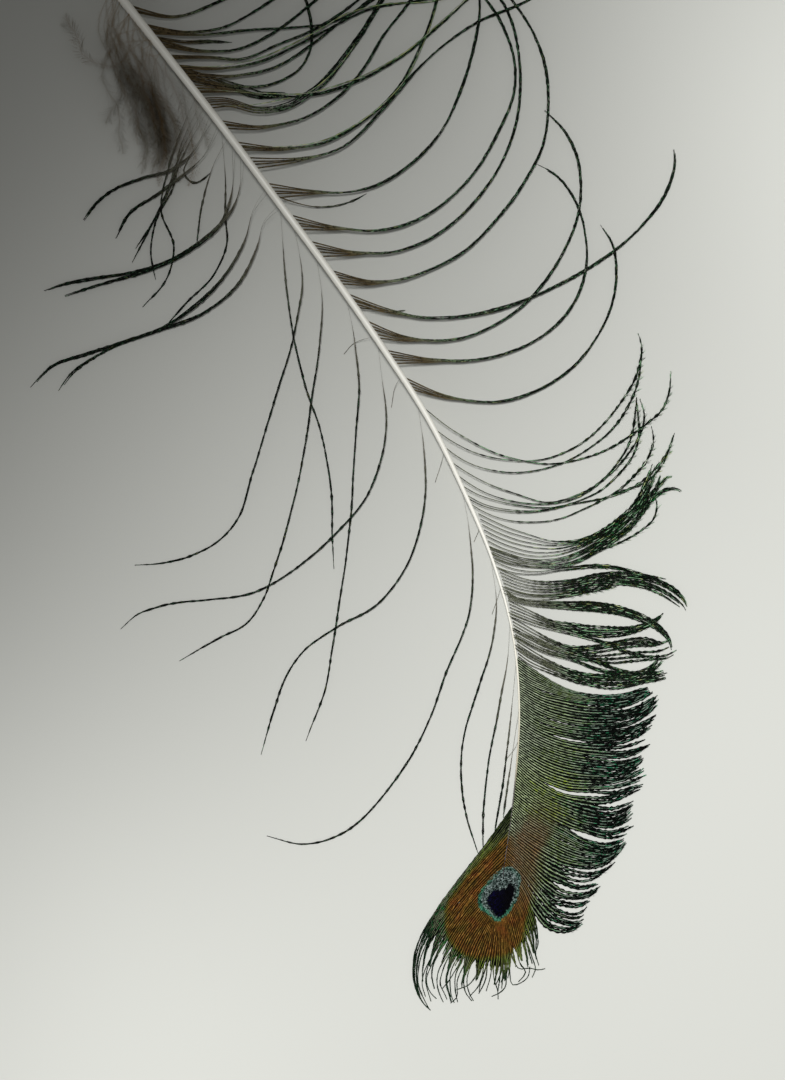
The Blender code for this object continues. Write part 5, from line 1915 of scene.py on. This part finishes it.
# Finishes of the pieces that don't take a plain one.
LEFT_BARB = LooseBarb(
    name="left_barb", root=srgb(146, 143, 130), base=srgb(120, 114, 98), turn=12.0, dusk=36.0, rate=1.5,
)
RIGHT_BARB = LooseBarb(
    name="right_barb", root=srgb(112, 98, 70), base=srgb(50, 42, 29), emerald=srgb(56, 158, 96),
    grey=srgb(172, 184, 160), rate=1.3,
)
# A lit copy of the loose-strand finish: its pale, bright colours are painted highlights.
HIGHLIGHT_BARB = LooseBarb(
    name="highlight_barb", root=srgb(120, 116, 74), base=srgb(64, 70, 38), dark=srgb(52, 78, 40),
    emerald=srgb(140, 220, 130), grey=srgb(250, 250, 226), gold=srgb(220, 230, 120), turn=2.0, dusk=18.0,
    glow=0.9, rate=0.7, golden=0.5, show=(0.9, 0.95),
)
TUFT_BARB = LooseBarb(
    name="tuft_barb", root=srgb(112, 116, 92), base=srgb(42, 46, 32), dark=srgb(11, 16, 10),
    emerald=srgb(56, 180, 92), grey=srgb(232, 240, 220), gold=srgb(180, 196, 60), turn=10.0, dusk=22.0,
    glow=0.72, golden=0.57, rate=0.45, show=(0.68, 0.44),
)
EYE_BARB = VaneBarb(
    name="eye_barb", sage=srgb(98, 108, 72), moss=srgb(124, 132, 70), olive=srgb(112, 136, 44),
    emerald=srgb(60, 128, 70), grey=srgb(126, 136, 104), rate=0.7, show=(0.85, 0.7), glow=0.25, deepen=0.92,
)


@dataclass
class Feather:
    """The whole feather, piece by piece.

    Args:
        dense: The dense vane on its right.
        fan: The fan round the eye.
        comb: Single barbs between the loose strands and the tufts.
        bright: Extra loose strands coloured as painted highlights where barbules catch the light.
        hairs: Single barbs past the fan.
    """

    dense: Vane = Vane(
        VANE_STYLE, VANE_GUIDES, 0.68, slits=VANE_SLITS, draw=0.4, lap=0.2, hair=0.75, uneven=0.07, stray=0.35
    )
    fan: Vane = Vane(
        EYE_STYLE, EYE_GUIDES, 0.6, measure=0.42, slits=EYE_SLITS, bundle=1.6, draw=0.85, loose=(0.57, 0.76),
        hair=0.34, uneven=0.3, fill=1.5, lap=0.25,
    )
    comb: tuple[Clump, ...] = tuple(lone(route) for route in COMB_ROUTES)
    bright: tuple[Clump, ...] = tuple(lone(route, 1.6) for route in HIGHLIGHT_ROUTES)
    hairs: tuple[Clump, ...] = tuple(lone(route, 0.0) for route in EYE_HAIRS)

    @staticmethod
    def keep(piece: bpy.types.Object, material: bpy.types.Material, slot: Slot) -> None:
        """Dresses a piece and joins it to the frame.

        Args:
            piece: The piece.
            material: Its finish.
            slot: The record's slot it stands for; not used.
        """
        piece.data.materials.append(material)
        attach(piece, BODY)
        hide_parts(NODE)
        LOG.info("%s: %d triangles", piece.name, len(piece.data.polygons))

    def build(self) -> None:
        """Builds and dresses every piece."""
        shade, marking = barb_shade_group(), eye_marking_group()
        left, right, bright, tuft = (
            barb.build(shade) for barb in (LEFT_BARB, RIGHT_BARB, HIGHLIGHT_BARB, TUFT_BARB)
        )
        vane, eye = (barb.build(shade, marking) for barb in (VaneBarb(), EYE_BARB))
        parts = (
            (Shaft(), Keratin().build(), Slot.SHAFT),
            (Barbs("left_strands", 11, LEFT_STYLE, LEFT_CLUMPS), left, Slot.BARBS),
            (Barbs("right_strands", 12, RIGHT_STYLE, RIGHT_CLUMPS[:10]), right, Slot.BARBS),
            (Barbs("upper_strands", 17, RIGHT_STYLE, RIGHT_CLUMPS[10:]), right, Slot.BARBS),
            (Barbs("highlight_strands", 19, HIGHLIGHT_STYLE, self.bright), bright, Slot.BARBS),
            (Barbs("comb", 18, COMB_STYLE, self.comb), tuft, Slot.BARBS),
            (Barbs("tufts", 13, BRUSH_STYLE, TUFT_SINGLES, tuft_vanes()), tuft, Slot.BARBS),
            (Barbs("dense_vane", 14, VANE_STYLE, vanes=(self.dense,)), vane, Slot.BARBS),
            (Barbs("eye_fan", 16, EYE_STYLE, self.hairs, (self.fan,)), eye, Slot.EYE),
            (Down(), Fluff().build(), Slot.DOWN),
        )
        for part, material, slot in parts:
            self.keep(part.build(), material, slot)


def main() -> None:
    """Builds the stage and the feather, and logs each piece's triangle count."""
    logging.basicConfig(level=logging.INFO, format="%(message)s")
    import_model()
    Studio().build()
    Feather().build()


if __name__ == "__main__":
    main()
